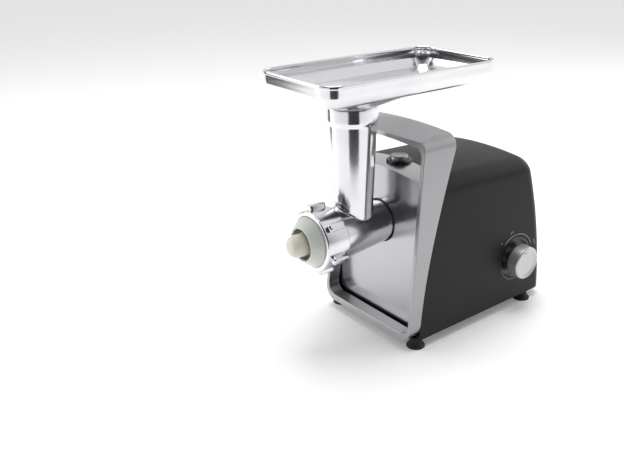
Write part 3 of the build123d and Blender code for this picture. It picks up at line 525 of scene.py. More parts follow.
# ---------------------------------------------------------------- finishes
@dataclass(frozen=True)
class Finish(ABC):
    """What a surface is made of.

    Args:
        name: the material's name.
        slot: the record's slot that it belongs to; not used.
        colour: its main colour.
        roughness: its mean roughness.
    """

    name: str
    slot: str
    colour: Colour
    roughness: float

    def shade(self, amount: float) -> Colour:
        """The main colour made lighter or darker."""
        return tuple(min(1.0, c * amount) for c in self.colour)

    def material(self) -> bpy.types.Material:
        """The material, which is made once."""
        found = bpy.data.materials.get(self.name)
        if found:
            return found
        recipe = Recipe(self.name)
        self.fill(recipe)
        return recipe.material

    @abstractmethod
    def fill(self, recipe: Recipe) -> None:
        """Builds the material's nodes."""


@dataclass(frozen=True)
class Moulding(Finish):
    """Moulded plastic or rubber with an eroded grain and faint flow marks.

    Args:
        grain: width of the grain in millimetres.
        depth: depth of the grain in millimetres.
        tone: how much the colour wanders.
        gloss: strength of its plain reflection.
        coat: gloss layer over it.
        glow: how much light goes through it.
    """

    grain: float = 0.5
    depth: float = 0.02
    tone: float = 0.06
    gloss: float = 0.5
    coat: float = 0.0
    glow: float = 0.0

    def fill(self, recipe: Recipe) -> None:
        """Colour with flow marks, grain in the relief and the gloss."""
        flow = recipe.noise(38.0, 2.0, (1.0, 1.0, 0.5))
        grain = recipe.noise(self.grain, 3.0)
        fine = recipe.noise(self.grain * 5, 2.0)
        base = recipe.mixed(recipe.spread(flow, 0.3, 0.7), self.shade(1 - self.tone), self.shade(1 + self.tone))
        recipe.set(
            Base_Color=recipe.mixed(recipe.spread(grain, 0.35, 0.65) * 0.5, base, self.shade(1 + 1.6 * self.tone)),
            Roughness=self.roughness + 0.10 * (grain - 0.5) + 0.08 * (fine - 0.5) + 0.05 * (flow - 0.5),
            Normal=recipe.relief(grain * 0.7 + fine * 0.3, self.depth),
        )
        recipe.set(Specular_IOR_Level=self.gloss, Coat_Weight=self.coat)
        recipe.set(Subsurface_Weight=self.glow, Subsurface_Scale=0.004)


@dataclass(frozen=True)
class Paint(Finish):
    """Satin paint with fine metal flakes and a slightly uneven surface.

    Args:
        flake: width of a flake in millimetres.
        metal: how metallic it looks.
        coat: clear layer over it.
    """

    flake: float = 0.35
    metal: float = 0.7
    coat: float = 0.15

    def fill(self, recipe: Recipe) -> None:
        """Flakes in the colour and gloss, a slow wave in the relief."""
        flake = recipe.node("ShaderNodeTexVoronoi", {"feature": "F1"},
                            {"Vector": recipe.position, "Scale": 1 / (self.flake * MM)}, "Color")
        spark = recipe.node("ShaderNodeSeparateColor", {}, {0: flake}, 0)
        wave = recipe.noise(7.0, 1.0)
        slow = recipe.noise(60.0, 2.0)
        base = recipe.mixed(recipe.spread(slow, 0.3, 0.7), self.shade(0.97), self.shade(1.03))
        recipe.set(
            Base_Color=recipe.mixed(spark * 0.5, base, self.shade(1.16)),
            Roughness=self.roughness + 0.09 * (spark - 0.5) + 0.05 * (slow - 0.5),
            Normal=recipe.relief(wave, 0.012),
        )
        recipe.set(Metallic=self.metal, Coat_Weight=self.coat, Coat_Roughness=0.3)


@dataclass(frozen=True)
class Metal(Finish):
    """Bare metal with the marks of its last tool.

    Args:
        lay: which way the marks run.
        mark: width of a mark in millimetres.
        depth: depth of the marks in millimetres.
        wave: depth of the slow unevenness in millimetres.
        cloud: how much the gloss wanders.
    """

    lay: Lay = Lay.NONE
    mark: float = 2.0
    depth: float = 0.003
    wave: float = 0.02
    cloud: float = 0.06

    def fill(self, recipe: Recipe) -> None:
        """Marks in the gloss and relief, slow clouds in the colour."""
        marks = recipe.noise(self.mark * max(self.lay.value), 3.0, self.lay.value)
        slow = recipe.noise(26.0, 1.0)
        cloud = recipe.noise(48.0, 3.0)
        stain = recipe.spread(cloud, 0.35, 0.7)
        recipe.set(
            Base_Color=recipe.mixed(stain, self.shade(1.0), self.shade(0.93)),
            Roughness=self.roughness + self.cloud * (marks - 0.5) + self.cloud * 0.7 * stain,
            Normal=recipe.relief(marks * (self.depth / self.wave) + slow, self.wave),
        )
        recipe.set(Metallic=1.0)


@dataclass(frozen=True)
class Turned(Finish):
    """Metal or plastic with fine even lines, as from a lathe, a stack of sheets or wire side by side.

    Args:
        pitch: distance between lines in millimetres.
        across: the axis that runs across the lines.
        metal: how metallic it is.
        depth: depth of the lines in millimetres.
        line: the colour in the lines, painted into their grooves as shade; for stacked sheets it also stands for their
            real dark joints.
    """

    pitch: float = 0.5
    across: str = "Y"
    metal: float = 1.0
    depth: float = 0.02
    line: Colour = (0.1, 0.1, 0.1)

    def fill(self, recipe: Recipe) -> None:
        """Lines in the colour, gloss and relief, with the grooves darkened as painted shade."""
        lines = recipe.bands(self.pitch, self.across, 0.4)
        cloud = recipe.noise(9.0, 3.0)
        groove_shade = recipe.spread(lines, 0.45, 0.05)
        base = recipe.mixed(cloud, self.shade(0.9), self.shade(1.08))
        recipe.set(
            # painted shade: the sunken grooves of the relief take the darker line colour
            Base_Color=recipe.mixed(groove_shade * 0.7, base, self.line),
            Roughness=self.roughness + 0.15 * groove_shade + 0.1 * (cloud - 0.5),
            Normal=recipe.relief(lines, self.depth),
        )
        recipe.set(Metallic=self.metal)


@dataclass(frozen=True)
class Board(Finish):
    """Printed board with tracks and pads."""

    def fill(self, recipe: Recipe) -> None:
        """Tracks as a lighter pattern under the lacquer."""
        tracks = recipe.node("ShaderNodeTexBrick", {"offset": 0.37, "squash": 0.6},
                             {"Vector": recipe.position, "Color1": (1, 1, 1), "Color2": (1, 1, 1), "Mortar": (0, 0, 0),
                              "Scale": 140.0, "Mortar Size": 0.09}, "Fac")
        cloud = recipe.noise(6.0, 2.0)
        recipe.set(
            Base_Color=recipe.mixed(tracks, self.shade(0.8), (0.10, 0.34, 0.13)),
            Roughness=self.roughness + 0.1 * (cloud - 0.5),
            Normal=recipe.relief(tracks, 0.03),
        )
        recipe.set(Coat_Weight=0.3)


BODY_BLACK = Moulding("charcoal_moulding", "body_black", (0.012, 0.012, 0.0135), 0.44, grain=0.55, depth=0.018,
                      gloss=0.22)
FRAME_SILVER = Paint("satin_silver", "frame_silver", (0.37, 0.37, 0.38), 0.32, metal=0.85)
PANEL_GREY = Paint("panel_silver", "panel_grey", (0.43, 0.43, 0.445), 0.2, metal=0.9, flake=0.3)
GLOSS_BLACK = Moulding("gloss_black", "gloss_black", (0.006, 0.006, 0.0065), 0.22, grain=1.6, depth=0.004,
                       gloss=0.3)
BUTTON_STEEL = Metal("brushed_button", "button_steel", (0.40, 0.385, 0.37), 0.30, lay=Lay.ACROSS, mark=0.2)
KNOB_SILVER = Paint("knob_satin", "knob_silver", (0.56, 0.56, 0.57), 0.36, metal=0.75)
PRINT_GREY = Moulding("printed_grey", "knob_silver", (0.42, 0.42, 0.43), 0.55, grain=0.3, depth=0.004)
CAST_ALUMINIUM = Metal("polished_casting", "cast_aluminium", (0.80, 0.795, 0.83), 0.14, lay=Lay.UPRIGHT, mark=0.5,
                       depth=0.004, wave=0.05, cloud=0.07)
TRAY_METAL = Metal("stamped_tray", "tray_metal", (0.80, 0.795, 0.815), 0.14, lay=Lay.LENGTHWISE, mark=0.35,
                   depth=0.002, wave=0.03, cloud=0.06)
NOZZLE_PLASTIC = Moulding("nozzle_white", "nozzle_plastic", (0.74, 0.77, 0.72), 0.30, grain=0.8, depth=0.01,
                          tone=0.03, glow=0.25)
CORE_PLASTIC = Moulding("core_ivory", "core_plastic", (0.80, 0.77, 0.69), 0.34, grain=0.8, depth=0.01, tone=0.03,
                        glow=0.2)
RUBBER = Moulding("foot_rubber", "feet_rubber", (0.018, 0.018, 0.018), 0.72, grain=0.7, depth=0.04)
NYLON = Moulding("gear_nylon", "nylon", (0.72, 0.69, 0.60), 0.42, grain=0.9, depth=0.015, glow=0.1)
GEARBOX = Moulding("gearbox_moulding", "gearbox_plastic", (0.10, 0.10, 0.11), 0.50, grain=0.9, depth=0.04)
# line in the turned finishes below is the darker colour painted into the grooves as shade; for the stacked sheets it is
# partly their real dark joints
STEEL = Turned("turned_steel", "steel", (0.55, 0.55, 0.56), 0.28, pitch=0.35, depth=0.004, line=(0.30, 0.30, 0.31))
AUGER_METAL = Metal("auger_casting", "auger_metal", (0.66, 0.66, 0.68), 0.32, mark=0.8, depth=0.02, wave=0.06)
BRONZE = Turned("bush_bronze", "bronze", (0.55, 0.36, 0.16), 0.30, pitch=0.3, depth=0.004, line=(0.28, 0.17, 0.07))
LAMINATIONS = Turned("stacked_sheets", "laminations", (0.34, 0.34, 0.36), 0.45, pitch=0.7, depth=0.05,
                     line=(0.06, 0.06, 0.07))
BRACKET = Metal("die_cast_bracket", "bracket_metal", (0.58, 0.58, 0.60), 0.42, mark=1.2, depth=0.03, wave=0.05)
COPPER = Turned("copper_winding", "copper", (0.60, 0.24, 0.10), 0.32, pitch=0.8, metal=0.9, depth=0.12,
                line=(0.16, 0.05, 0.02))
BRASS = Metal("brush_brass", "brush_brass", (0.66, 0.48, 0.20), 0.30, mark=0.6, depth=0.01)
CARBON = Moulding("pressed_carbon", "carbon", (0.03, 0.03, 0.032), 0.62, grain=0.25, depth=0.02)
BOARD = Board("lacquered_board", "board_green", (0.04, 0.20, 0.07), 0.35)


def dressed(piece: bpy.types.Object, finish: Finish, body: str, *nodes: str) -> bpy.types.Object:
    """Gives a finished piece its material and its place in the frame.

    Args:
        piece: the piece.
        finish: its finish.
        body: the body that it rides on.
        nodes: the nodes that it stands for.

    Returns:
        The piece.
    """
    piece.data.materials.clear()
    piece.data.materials.append(finish.material())
    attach(piece, body)
    if nodes:
        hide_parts(*nodes)
    LOG.info("%s: %d faces, on %s", piece.name, len(piece.data.polygons), body)
    return piece


# ---------------------------------------------------------------- ring of copies
class RingOfCopies:
    """Node tree that sets copies of a small part round an axis and joins them to a piece."""

    INPUTS = (("Part", "NodeSocketObject"), ("Count", "NodeSocketInt"), ("Start", "NodeSocketFloat"),
              ("Step", "NodeSocketFloat"), ("Centre", "NodeSocketVector"), ("Lean", "NodeSocketFloat"))

    def __init__(self, name: str, axis: Axis, finish: Finish) -> None:
        """Builds the tree.

        Args:
            name: the tree's name.
            axis: the axis that the copies stand round.
            finish: the finish of the joined piece.
        """
        self.tree = bpy.data.node_groups.new(name, "GeometryNodeTree")
        sockets = self.tree.interface
        sockets.new_socket("Geometry", in_out="INPUT", socket_type="NodeSocketGeometry")
        self.ids = {n: sockets.new_socket(n, in_out="INPUT", socket_type=kind).identifier for n, kind in self.INPUTS}
        sockets.new_socket("Geometry", in_out="OUTPUT", socket_type="NodeSocketGeometry")
        given = self.tree.nodes.new("NodeGroupInput").outputs
        angle = self._node("ShaderNodeMath", {"operation": "MULTIPLY_ADD"},
                           {0: self._node("GeometryNodeInputIndex", {}, {}), 1: given["Step"], 2: given["Start"]})
        turn = self._node("ShaderNodeCombineXYZ", {}, {axis.value: angle})
        spots = self._node("GeometryNodePoints", {}, {"Count": given["Count"], "Position": given["Centre"]})
        part = self._node("GeometryNodeObjectInfo", {"transform_space": "ORIGINAL"}, {"Object": given["Part"]},
                          "Geometry")
        copies = self._node("GeometryNodeInstanceOnPoints", {},
                            {"Points": spots, "Instance": part, "Rotation": turn})
        copies = self._node("GeometryNodeRealizeInstances", {}, {0: copies})
        spot = self._node("ShaderNodeVectorMath", {"operation": "SUBTRACT"},
                          {0: self._node("GeometryNodeInputPosition", {}, {}), 1: given["Centre"]})
        height = self._node("ShaderNodeSeparateXYZ", {}, {0: spot}, 2)
        shift = self._node("ShaderNodeMath", {"operation": "MULTIPLY"}, {0: height, 1: given["Lean"]})
        offset = self._node("ShaderNodeCombineXYZ", {}, {0: shift})
        copies = self._node("GeometryNodeSetPosition", {}, {"Geometry": copies, "Offset": offset})
        join = self.tree.nodes.new("GeometryNodeJoinGeometry")
        self.tree.links.new(copies, join.inputs[0])
        self.tree.links.new(given["Geometry"], join.inputs[0])
        whole = self._node("GeometryNodeRealizeInstances", {}, {0: join.outputs[0]})
        whole = self._node("GeometryNodeSetMaterial", {}, {"Geometry": whole, "Material": finish.material()})
        self.tree.links.new(whole, self.tree.nodes.new("NodeGroupOutput").inputs[0])

    def _node(self, kind: str, settings: Mapping[str, Any], inputs: Mapping[int | str, Any],
              out: int | str = 0) -> bpy.types.NodeSocket:
        """Adds a node with its settings and inputs, and gives one of its outputs."""
        made = self.tree.nodes.new(kind)
        for key, value in settings.items():
            setattr(made, key, value)
        for key, value in inputs.items():
            if isinstance(value, bpy.types.NodeSocket):
                self.tree.links.new(value, made.inputs[key])
            else:
                made.inputs[key].default_value = value
        return made.outputs[out]

    def join(self, piece: bpy.types.Object, part: bpy.types.Object, count: int, start: float, step: float,
             centre: Sequence[float], lean: float = 0.0) -> bpy.types.Object:
        """Joins the copies to a piece and leaves plain mesh.

        Args:
            piece: the piece that gets them.
            part: the small part, about its own origin; it is removed afterwards.
            count: how many copies.
            start: the first one's angle in degrees.
            step: the angle between two in degrees.
            centre: the point of the axis that they stand round, in metres.
            lean: how far a copy moves along X for each unit of height above the centre.

        Returns:
            The piece.
        """
        modifier = piece.modifiers.new("copies", "NODES")
        modifier.node_group = self.tree
        values = {"Part": part, "Count": count, "Start": math.radians(start), "Step": math.radians(step),
                  "Centre": tuple(centre), "Lean": lean}
        for name, value in values.items():
            modifier[self.ids[name]] = value
        part.hide_render = True
        baked(piece)
        bpy.data.objects.remove(part)
        return piece


# ---------------------------------------------------------------- body
@dataclass
class Body:
    """The charcoal shell behind the silver band, and the plain lines that the other parts follow."""

    places: Places
    half_width: float = 86.5
    taper: float = 0.04
    base: float = 12.5
    rear: float = 274.0
    wall: float = 2.6
    deck: float = 217.0
    crown_radius: float = 430.0
    crown_y: float = 85.0
    fall: float = 0.033
    shoulder: float = 20.0
    rear_corner: float = 17.0
    edge_ease: float = 0.7
    band: tuple[tuple[float, float], ...] = (
        (34.5, 11.5), (35.5, 20.6), (44.8, 79.0), (63.6, 152.7), (85.9, 222.0), (94.6, 247.0))

    def half_at(self, z: float | np.ndarray) -> float | np.ndarray:
        """Half the body's width at a height."""
        return self.half_width - self.taper * (z - self.base)

    def band_rear(self, z: np.ndarray) -> np.ndarray:
        """Where the silver band ends at each height."""
        return through(self.band, np.asarray(z, float))

    def section(self, inset: float) -> np.ndarray:
        """The body's cross-section, open at the bottom.

        Args:
            inset: how far inside the outer surface it lies.

        Returns:
            (x, z) points from the left bottom edge over the top to the right.
        """
        top = self.deck - inset
        wide = self.half_at(top) - inset
        rise = math.sqrt(self.crown_radius**2 - wide**2)
        edge, radius = top - self.crown_radius + rise, self.shoulder - inset
        low = self.half_at(self.base) - inset
        corners = [(-low, self.base, 0), (-wide, edge, radius), (wide, edge, radius), (low, self.base, 0)]
        points = subdivided(rounded(corners, 12, closed=False), {0: 36, 13: 36, 26: 36})
        inside = np.abs(points[:, 0]) < wide
        crown = np.sqrt(self.crown_radius**2 - np.minimum(points[:, 0] ** 2, wide**2)) - rise
        points[:, 1] += np.where(inside, crown, 0)
        return points

    def rear_at(self, z: np.ndarray) -> np.ndarray:
        """The rear wall's outer surface at each height, an arc through three points."""
        a, b, c = (np.array(p) for p in ((self.rear, self.base), (self.rear - 7.5, 105.0), (self.rear - 38.5, 220.0)))
        system = 2 * np.array([b - a, c - a])
        centre = np.linalg.solve(system, np.array([b @ b - a @ a, c @ c - a @ a]))
        return centre[0] + np.sqrt((a - centre) @ (a - centre) - (z - centre[1]) ** 2)

    def row(self, inset: float, share: float, depth: float, shrink: float = 1.0) -> np.ndarray:
        """One line of the shell from the left bottom edge over the top to the right.

        Args:
            inset: how far inside the outer surface it lies.
            share: 0 at the band and 1 at the rear.
            depth: how far ahead of the rear wall the rear end lies.
            shrink: size of the line about the middle of the bottom edge.

        Returns:
            The line's points.
        """
        x, z0 = self.section(inset).T
        x, z0 = x * shrink, self.base + (z0 - self.base) * shrink
        z, lift = z0.copy(), (z0 - self.base) / (self.deck - self.base)
        for _ in range(4):
            y = (1 - share) * self.band_rear(z) + share * (self.rear_at(z) - depth)
            z = z0 + self.fall * (self.crown_y - y) * lift
        return np.stack((x, y, z), axis=1)

    def shell(self) -> bpy.types.Object:
        """Builds the shell: sides and top, the rounded rear rim and the bowed rear wall."""
        rows = [self.row(0, share, self.rear_corner) for share in np.linspace(0, 1, 20)]
        for angle in np.linspace(0, math.pi / 2, 11)[1:]:
            r = self.rear_corner
            rows.append(self.row(r * (1 - math.cos(angle)), 1, r * (1 - math.sin(angle))))
        rows += [self.row(self.rear_corner, 1, 0, k) for k in np.linspace(1, 0, 15)[1:]]
        piece = Form().grid(np.stack(rows)).made("body_shell", self.places, outward_up=True)
        walls = piece.modifiers.new("walls", "SOLIDIFY")
        walls.thickness, walls.offset, walls.use_even_offset = self.wall * MM, -1, True
        baked(piece)
        knob = rounded([(0, 60, 0), (31.0, 60, 0), (31.0, 120, 0), (0, 120, 0)])
        cord = rounded([(0, 230, 0), (6.0, 230, 0), (6.0, 300, 0), (0, 300, 0)])
        bezel = rounded([(0, 190, 0), (16.2, 190, 0), (16.2, 240, 0), (0, 240, 0)])
        tool = Form().turned(knob, Axis.X, (self.places.knob_y, self.places.knob_z), 96)
        tool.turned(cord, Axis.Y, (-45.0, 40.0), 48).turned(bezel, Axis.Z, (0, self.places.button_y), 96)
        cut(piece, tool, self.places)
        return even_faces(eased(piece, self.edge_ease, 3, 50.0))

    def build(self) -> None:
        """Builds and dresses the shell and the cord's inlet."""
        dressed(self.shell(), BODY_BLACK, "housing", "main_shell")
        inlet = even_faces(eased(merged_copy("cord_inlet", "cord_grommet"), 0.5))
        dressed(inlet, RUBBER, "housing", "cord_inlet")


@dataclass
class FrontFrame:
    """The silver loop: feet edge, sides and handle in one, with the panel and deck inside it."""

    body: Body
    front: float = 17.3
    lean: float = 0.11
    side: float = 5.5
    bottom: float = 8.5
    top: float = 266.5
    top_edge: float = 262.5
    top_front: float = 260.5
    under: float = 255.5
    low_radius: float = 20.0
    high_radius: float = 14.0
    slope: float = 7.0 / 53.0
    edge_ease: float = 1.1

    def front_at(self, z: np.ndarray) -> np.ndarray:
        """Front rim at each height."""
        return self.front + self.lean * (z - self.body.base)

    def loop(self, side: float, low: float, low_radius: float, top: float, edge: float,
             high_radius: float) -> np.ndarray:
        """Closed outline of the frame.

        Args:
            side: how far inside the body's side it runs.
            low: its bottom.
            low_radius: radius of the bottom corners.
            top: its top on the symmetry plane.
            edge: its top at the corners.
            high_radius: radius of the top corners.

        Returns:
            (x, z) points, with the same count for every outline.
        """
        wide, narrow = self.body.half_at(low) - side, self.body.half_at(edge) - side
        corners = [(-wide, low, low_radius), (wide, low, low_radius), (narrow, edge, high_radius),
                   (-narrow, edge, high_radius)]
        steps = 12
        after = {steps + k * (steps + 1): n for k, n in enumerate((30, 48, 30, 48))}
        points = subdivided(rounded(corners, steps), after)
        share = np.clip(1 - (points[:, 0] / narrow) ** 2, 0, 1)
        points[:, 1] += np.where(points[:, 1] > edge - high_radius, (top - edge) * share, 0)
        return points

    def frame(self) -> bpy.types.Object:
        """Builds the loop as rows from the front rim over the outside and back through the inside."""
        x, full = self.loop(0, self.body.base, self.low_radius, self.top, self.top_edge, self.high_radius).T
        front = self.front_at(np.minimum(full, self.top_front))
        hinge = self.front_at(np.array(self.top_front))
        rear = self.body.band_rear(full)
        crease = np.clip(hinge + (full - self.top_front) / self.slope, front + 3.0, rear - 1.5)
        rows = []
        stops = [(front, crease, k) for k in (0, 0.35, 0.7, 0.93, 1)] + \
                [(crease, rear, k) for k in (0.1, 0.3, 0.5, 0.7, 0.85, 1)]
        for start, end, share in stops:
            y = start + (end - start) * share
            z = np.minimum(full, np.maximum(self.top_front + (y - hinge) * self.slope, self.top_front))
            rows.append(np.stack((x, y, z), axis=1))
        xi, zi = self.loop(self.side, self.body.base + self.bottom, self.low_radius - self.side, self.under,
                           self.under - 3.0, self.high_radius - 4.0).T
        start, end = self.front_at(zi), self.body.band_rear(zi)
        for share in (1, 0.8, 0.6, 0.4, 0.2, 0):
            rows.append(np.stack((xi, start + (end - start) * share, zi), axis=1))
        piece = Form().grid(np.stack(rows), True, True).made("silver_frame", self.body.places)
        return even_faces(eased(piece, self.edge_ease, 4, 45.0))

    def build(self) -> None:
        """Builds the frame, its panel and its deck."""
        dressed(self.frame(), FRAME_SILVER, "housing", "front_frame")
        panel = even_faces(eased(merged_copy("front_panel", "recessed_panel"), 0.25))
        dressed(panel, PANEL_GREY, "housing", "front_panel")
        deck = even_faces(eased(merged_copy("top_deck", "deck_plate"), 0.3))
        dressed(deck, PANEL_GREY, "housing", "top_deck")


# ---------------------------------------------------------------- head
@dataclass
class Head:
    """The cast head: tapered barrel and flared feed neck in one piece."""

    places: Places
    barrel_front: float = -58.2
    thread_end: float = -36.0
    thread_radius: float = 33.6
    front_radius: float = 33.2
    flange_y: float = 43.0
    flange_radius: float = 26.4
    tail_radius: float = 24.0
    tail_end: float = 64.0
    bore: float = 22.5
    neck_low: tuple[float, float] = (25.2, 190.0)
    neck_high: tuple[float, float] = (28.9, 279.0)
    neck_wall: float = 3.0
    mouth_radius: float = 30.7
    mouth_z: tuple[float, float] = (283.0, 300.0)
    voxel: float = 0.95

    def neck_at(self, z: np.ndarray | float) -> np.ndarray | float:
        """The neck's outer radius at a height."""
        (low_r, low_z), (high_r, high_z) = self.neck_low, self.neck_high
        return low_r + (high_r - low_r) * (z - low_z) / (high_z - low_z)

    def barrel_at(self, y: np.ndarray | float) -> np.ndarray | float:
        """The barrel's outer radius along its length."""
        share = (y - self.thread_end) / (self.flange_y - self.thread_end)
        return self.front_radius + share * (self.flange_radius - self.front_radius)

    def outside(self) -> Form:
        """Barrel, neck and bayonet lugs as closed forms that overlap."""
        z = self.places.barrel_z
        low, high = self.mouth_z
        barrel = rounded([(0, self.barrel_front, 0), (self.thread_radius, self.barrel_front, 0),
                          (self.thread_radius, self.thread_end, 0), (self.front_radius, self.thread_end, 0),
                          (self.flange_radius, self.flange_y - 2.5, 0), (self.flange_radius, self.flange_y, 0),
                          (self.tail_radius, self.flange_y, 0), (self.tail_radius, self.tail_end, 0),
                          (0, self.tail_end, 0)])
        neck = rounded([(0, z, 0), (self.neck_at(z), z, 0), (self.neck_high[0], self.neck_high[1], 2),
                        (self.mouth_radius, low - 0.5, 2), (self.mouth_radius, high, 1.2), (0, high, 0)], 8)
        neck = subdivided(neck, {1: 30})
        form = Form().turned(barrel, Axis.Y, (0, z), 160).turned(neck, Axis.Z, (0, 0), 160)
        for middle in (0, math.pi):
            arc = middle + np.radians(np.linspace(-17, 17, 9))
            ring = [(r * math.cos(a), z + r * math.sin(a)) for r, span in ((28.0, arc), (22.0, arc[::-1])) for a in span]
            form.stacked([np.array([(px, y, pz) for px, pz in ring]) for y in (50.3, 56.7)])
        return form

    def casting(self) -> bpy.types.Object:
        """Builds the head: joins the forms as one skin, softens the corners and opens the passages."""
        piece = self.outside().made("cast_head", self.places)
        skin = piece.modifiers.new("skin", "REMESH")
        skin.mode, skin.voxel_size = "VOXEL", self.voxel * MM
        soften = piece.modifiers.new("soften", "SMOOTH")
        soften.factor, soften.iterations = 0.5, 9
        baked(piece)
        self.settle(piece)
        z = self.places.barrel_z
        low, high = self.mouth_z
        inner = self.neck_at(z) - self.neck_wall
        passage = [(0, z), (inner, z), (self.neck_high[0] - self.neck_wall, self.neck_high[1]), (27.7, low - 0.5),
                   (27.7, high + 2), (0, high + 2)]
        chamber = [(0, self.barrel_front - 2), (self.bore, self.barrel_front - 2), (self.bore, 31.0), (14.5, 31.0),
                   (14.5, self.tail_end + 2), (0, self.tail_end + 2)]
        cut(piece, Form().turned(np.array(passage), Axis.Z, (0, 0), 128), self.places)
        cut(piece, Form().turned(np.array(chamber), Axis.Y, (0, z), 128), self.places)
        return smooth(piece, 38.0)

    def settle(self, piece: bpy.types.Object) -> None:
        """Puts the skin's points that lie near the true neck and barrel exactly on them.

        Args:
            piece: the skin.
        """
        mesh = piece.data
        points = np.empty(len(mesh.vertices) * 3)
        mesh.vertices.foreach_get("co", points)
        p = (points.reshape(-1, 3) - np.array(self.places.origin)) / MM
        reach = np.hypot(p[:, 0], p[:, 1])
        true = self.neck_at(p[:, 2])
        near = (np.abs(reach - true) < 0.5) & (p[:, 2] > self.places.barrel_z + 36) & (p[:, 2] < self.neck_high[1] - 5)
        p[near, :2] *= (true / np.maximum(reach, 1))[near, None]
        rise = p[:, 2] - self.places.barrel_z
        reach, true = np.hypot(p[:, 0], rise), self.barrel_at(p[:, 1])
        near = (np.abs(reach - true) < 0.5) & (p[:, 1] > self.thread_end + 3) & (p[:, 1] < self.flange_y - 5)
        scale = (true / np.maximum(reach, 1))[near]
        p[near, 0] *= scale
        p[near, 2] = self.places.barrel_z + rise[near] * scale
        mesh.vertices.foreach_set("co", self.places.row(p).ravel())
        mesh.update()

    def build(self) -> None:
        """Builds and dresses the head."""
        dressed(self.casting(), CAST_ALUMINIUM, "head", "grinding_head")


@dataclass
class FrontEnd:
    """Ring nut, kebbe nozzle and core, all about the barrel's axis."""

    places: Places
    nut: tuple[float, float] = (-65.0, -33.0)
    nut_radius: tuple[float, float] = (37.1, 36.3)
    opening: float = 31.0
    lip: float = 3.5
    thread: float = 33.75
    lugs: int = 6
    lug_height: float = 6.2
    lug_width: float = 9.5
    lug_span: tuple[float, float] = (-60.0, -38.0)
    first_lug: float = 40.0
    tip: tuple[float, float] = (21.5, -78.0)
    nozzle_wall: float = 2.2
    core_radius: float = 13.6
    core_tip: float = -94.0
    core_foot: float = -58.2

    def lug(self) -> bpy.types.Object:
        """One grip, upright on the nut, about its own origin."""
        low, high = self.lug_span
        reach, ease = self.nut_radius[0] + self.lug_height, 2.2
        rings = []
        for inset, level in [(0, 33.9), (0, reach - ease)] + [
            (ease * (1 - math.cos(a)), reach - ease * (1 - math.sin(a))) for a in np.radians((20, 40, 60, 75, 90))
        ]:
            half, ends = self.lug_width / 2 - inset, inset
            plan = rounded([(-half, low + ends, 3.2 - inset), (half, low + ends, 3.2 - inset),
                            (half, high - ends, 3.2 - inset), (-half, high - ends, 3.2 - inset)], 6)
            rings.append(np.column_stack((plan, np.full(len(plan), level))))
        return Form().stacked(rings).made("grip", None)

    def ring_nut(self) -> bpy.types.Object:
        """The threaded ring with its grips."""
        front, rear = self.nut
        profile = rounded([(self.opening, front, 0.9), (self.nut_radius[0], front, 1.8),
                           (self.nut_radius[1], rear, 1.2), (self.thread, rear, 0.4),
                           (self.thread, front + self.lip, 0), (self.opening, front + self.lip, 0.4)], 6)
        piece = Form().turned(profile, Axis.Y, (0, self.places.barrel_z), 180).made("threaded_ring", self.places)
        origin = self.places.row(np.array((0, 0, self.places.barrel_z)))
        RingOfCopies("grips_round_ring", Axis.Y, CAST_ALUMINIUM).join(
            piece, self.lug(), self.lugs, 90 - self.first_lug, 360 / self.lugs, origin)
        return smooth(piece, 38.0)

    def nozzle(self) -> bpy.types.Object:
        """The outer funnel."""
        seat = self.nut[0] + self.lip + 0.1
        root, tip_in = self.opening - 0.4, self.tip[0] - self.nozzle_wall
        inner = root - self.nozzle_wall - 0.6
        profile = rounded([(inner, seat + 2.9, 0), (self.thread - 0.25, seat + 2.9, 0), (self.thread - 0.25, seat, 0),
                           (root, seat, 0), (root, self.nut[0] - 0.6, 1.2), (root - 2.2, self.nut[0] - 3.6, 3),
                           (self.tip[0] + 0.4, self.tip[1] + 1.0, 1.4), (self.tip[0] - 0.6, self.tip[1], 0.7),
                           (tip_in, self.tip[1], 0.5), (tip_in, self.tip[1] + 2.0, 2),
                           (inner, self.nut[0] + 1.0, 3)], 6)
        piece = Form().turned(profile, Axis.Y, (0, self.places.barrel_z), 160).made("kebbe_funnel", self.places)
        return smooth(piece)

    def core(self) -> bpy.types.Object:
        """The hub that stands in the middle of the funnel, with its ring and arms."""
        r, tip, foot, z = self.core_radius, self.core_tip, self.core_foot, self.places.barrel_z
        hub = rounded([(0, foot + 9, 0), (8.5, foot + 9, 0), (8.5, foot, 1), (r, foot - 7, 3), (r, tip + 8.5, 6),
                       (r - 1.2, tip + 4.0, 4), (r - 4.6, tip + 1.0, 4), (r - 9, tip, 6), (0, tip, 0)], 7)
        ring = rounded([(19.3, foot, 0.5), (22.3, foot, 0.5), (22.3, foot + 4.5, 0.5), (19.3, foot + 4.5, 0.5)], 3)
        form = Form().turned(hub, Axis.Y, (0, z), 128).turned(ring, Axis.Y, (0, z), 128)
        for angle in (90, 210, 330):
            c, s = math.cos(math.radians(angle)), math.sin(math.radians(angle))
            plan = [(7.0, -2.5), (20.5, -2.5), (20.5, 2.5), (7.0, 2.5)]
            form.stacked([np.array([(a * c - b * s, y, z + a * s + b * c) for a, b in plan])
                          for y in (foot + 0.2, foot + 4.3)])
        return smooth(form.made("kebbe_hub", self.places))

    def build(self) -> None:
        """Builds and dresses the nut, the funnel and the hub."""
        dressed(self.ring_nut(), CAST_ALUMINIUM, "ring_nut", "ring_nut")
        dressed(self.nozzle(), NOZZLE_PLASTIC, "nozzle", "kebbe_nozzle")
        dressed(self.core(), CORE_PLASTIC, "head", "kebbe_core")


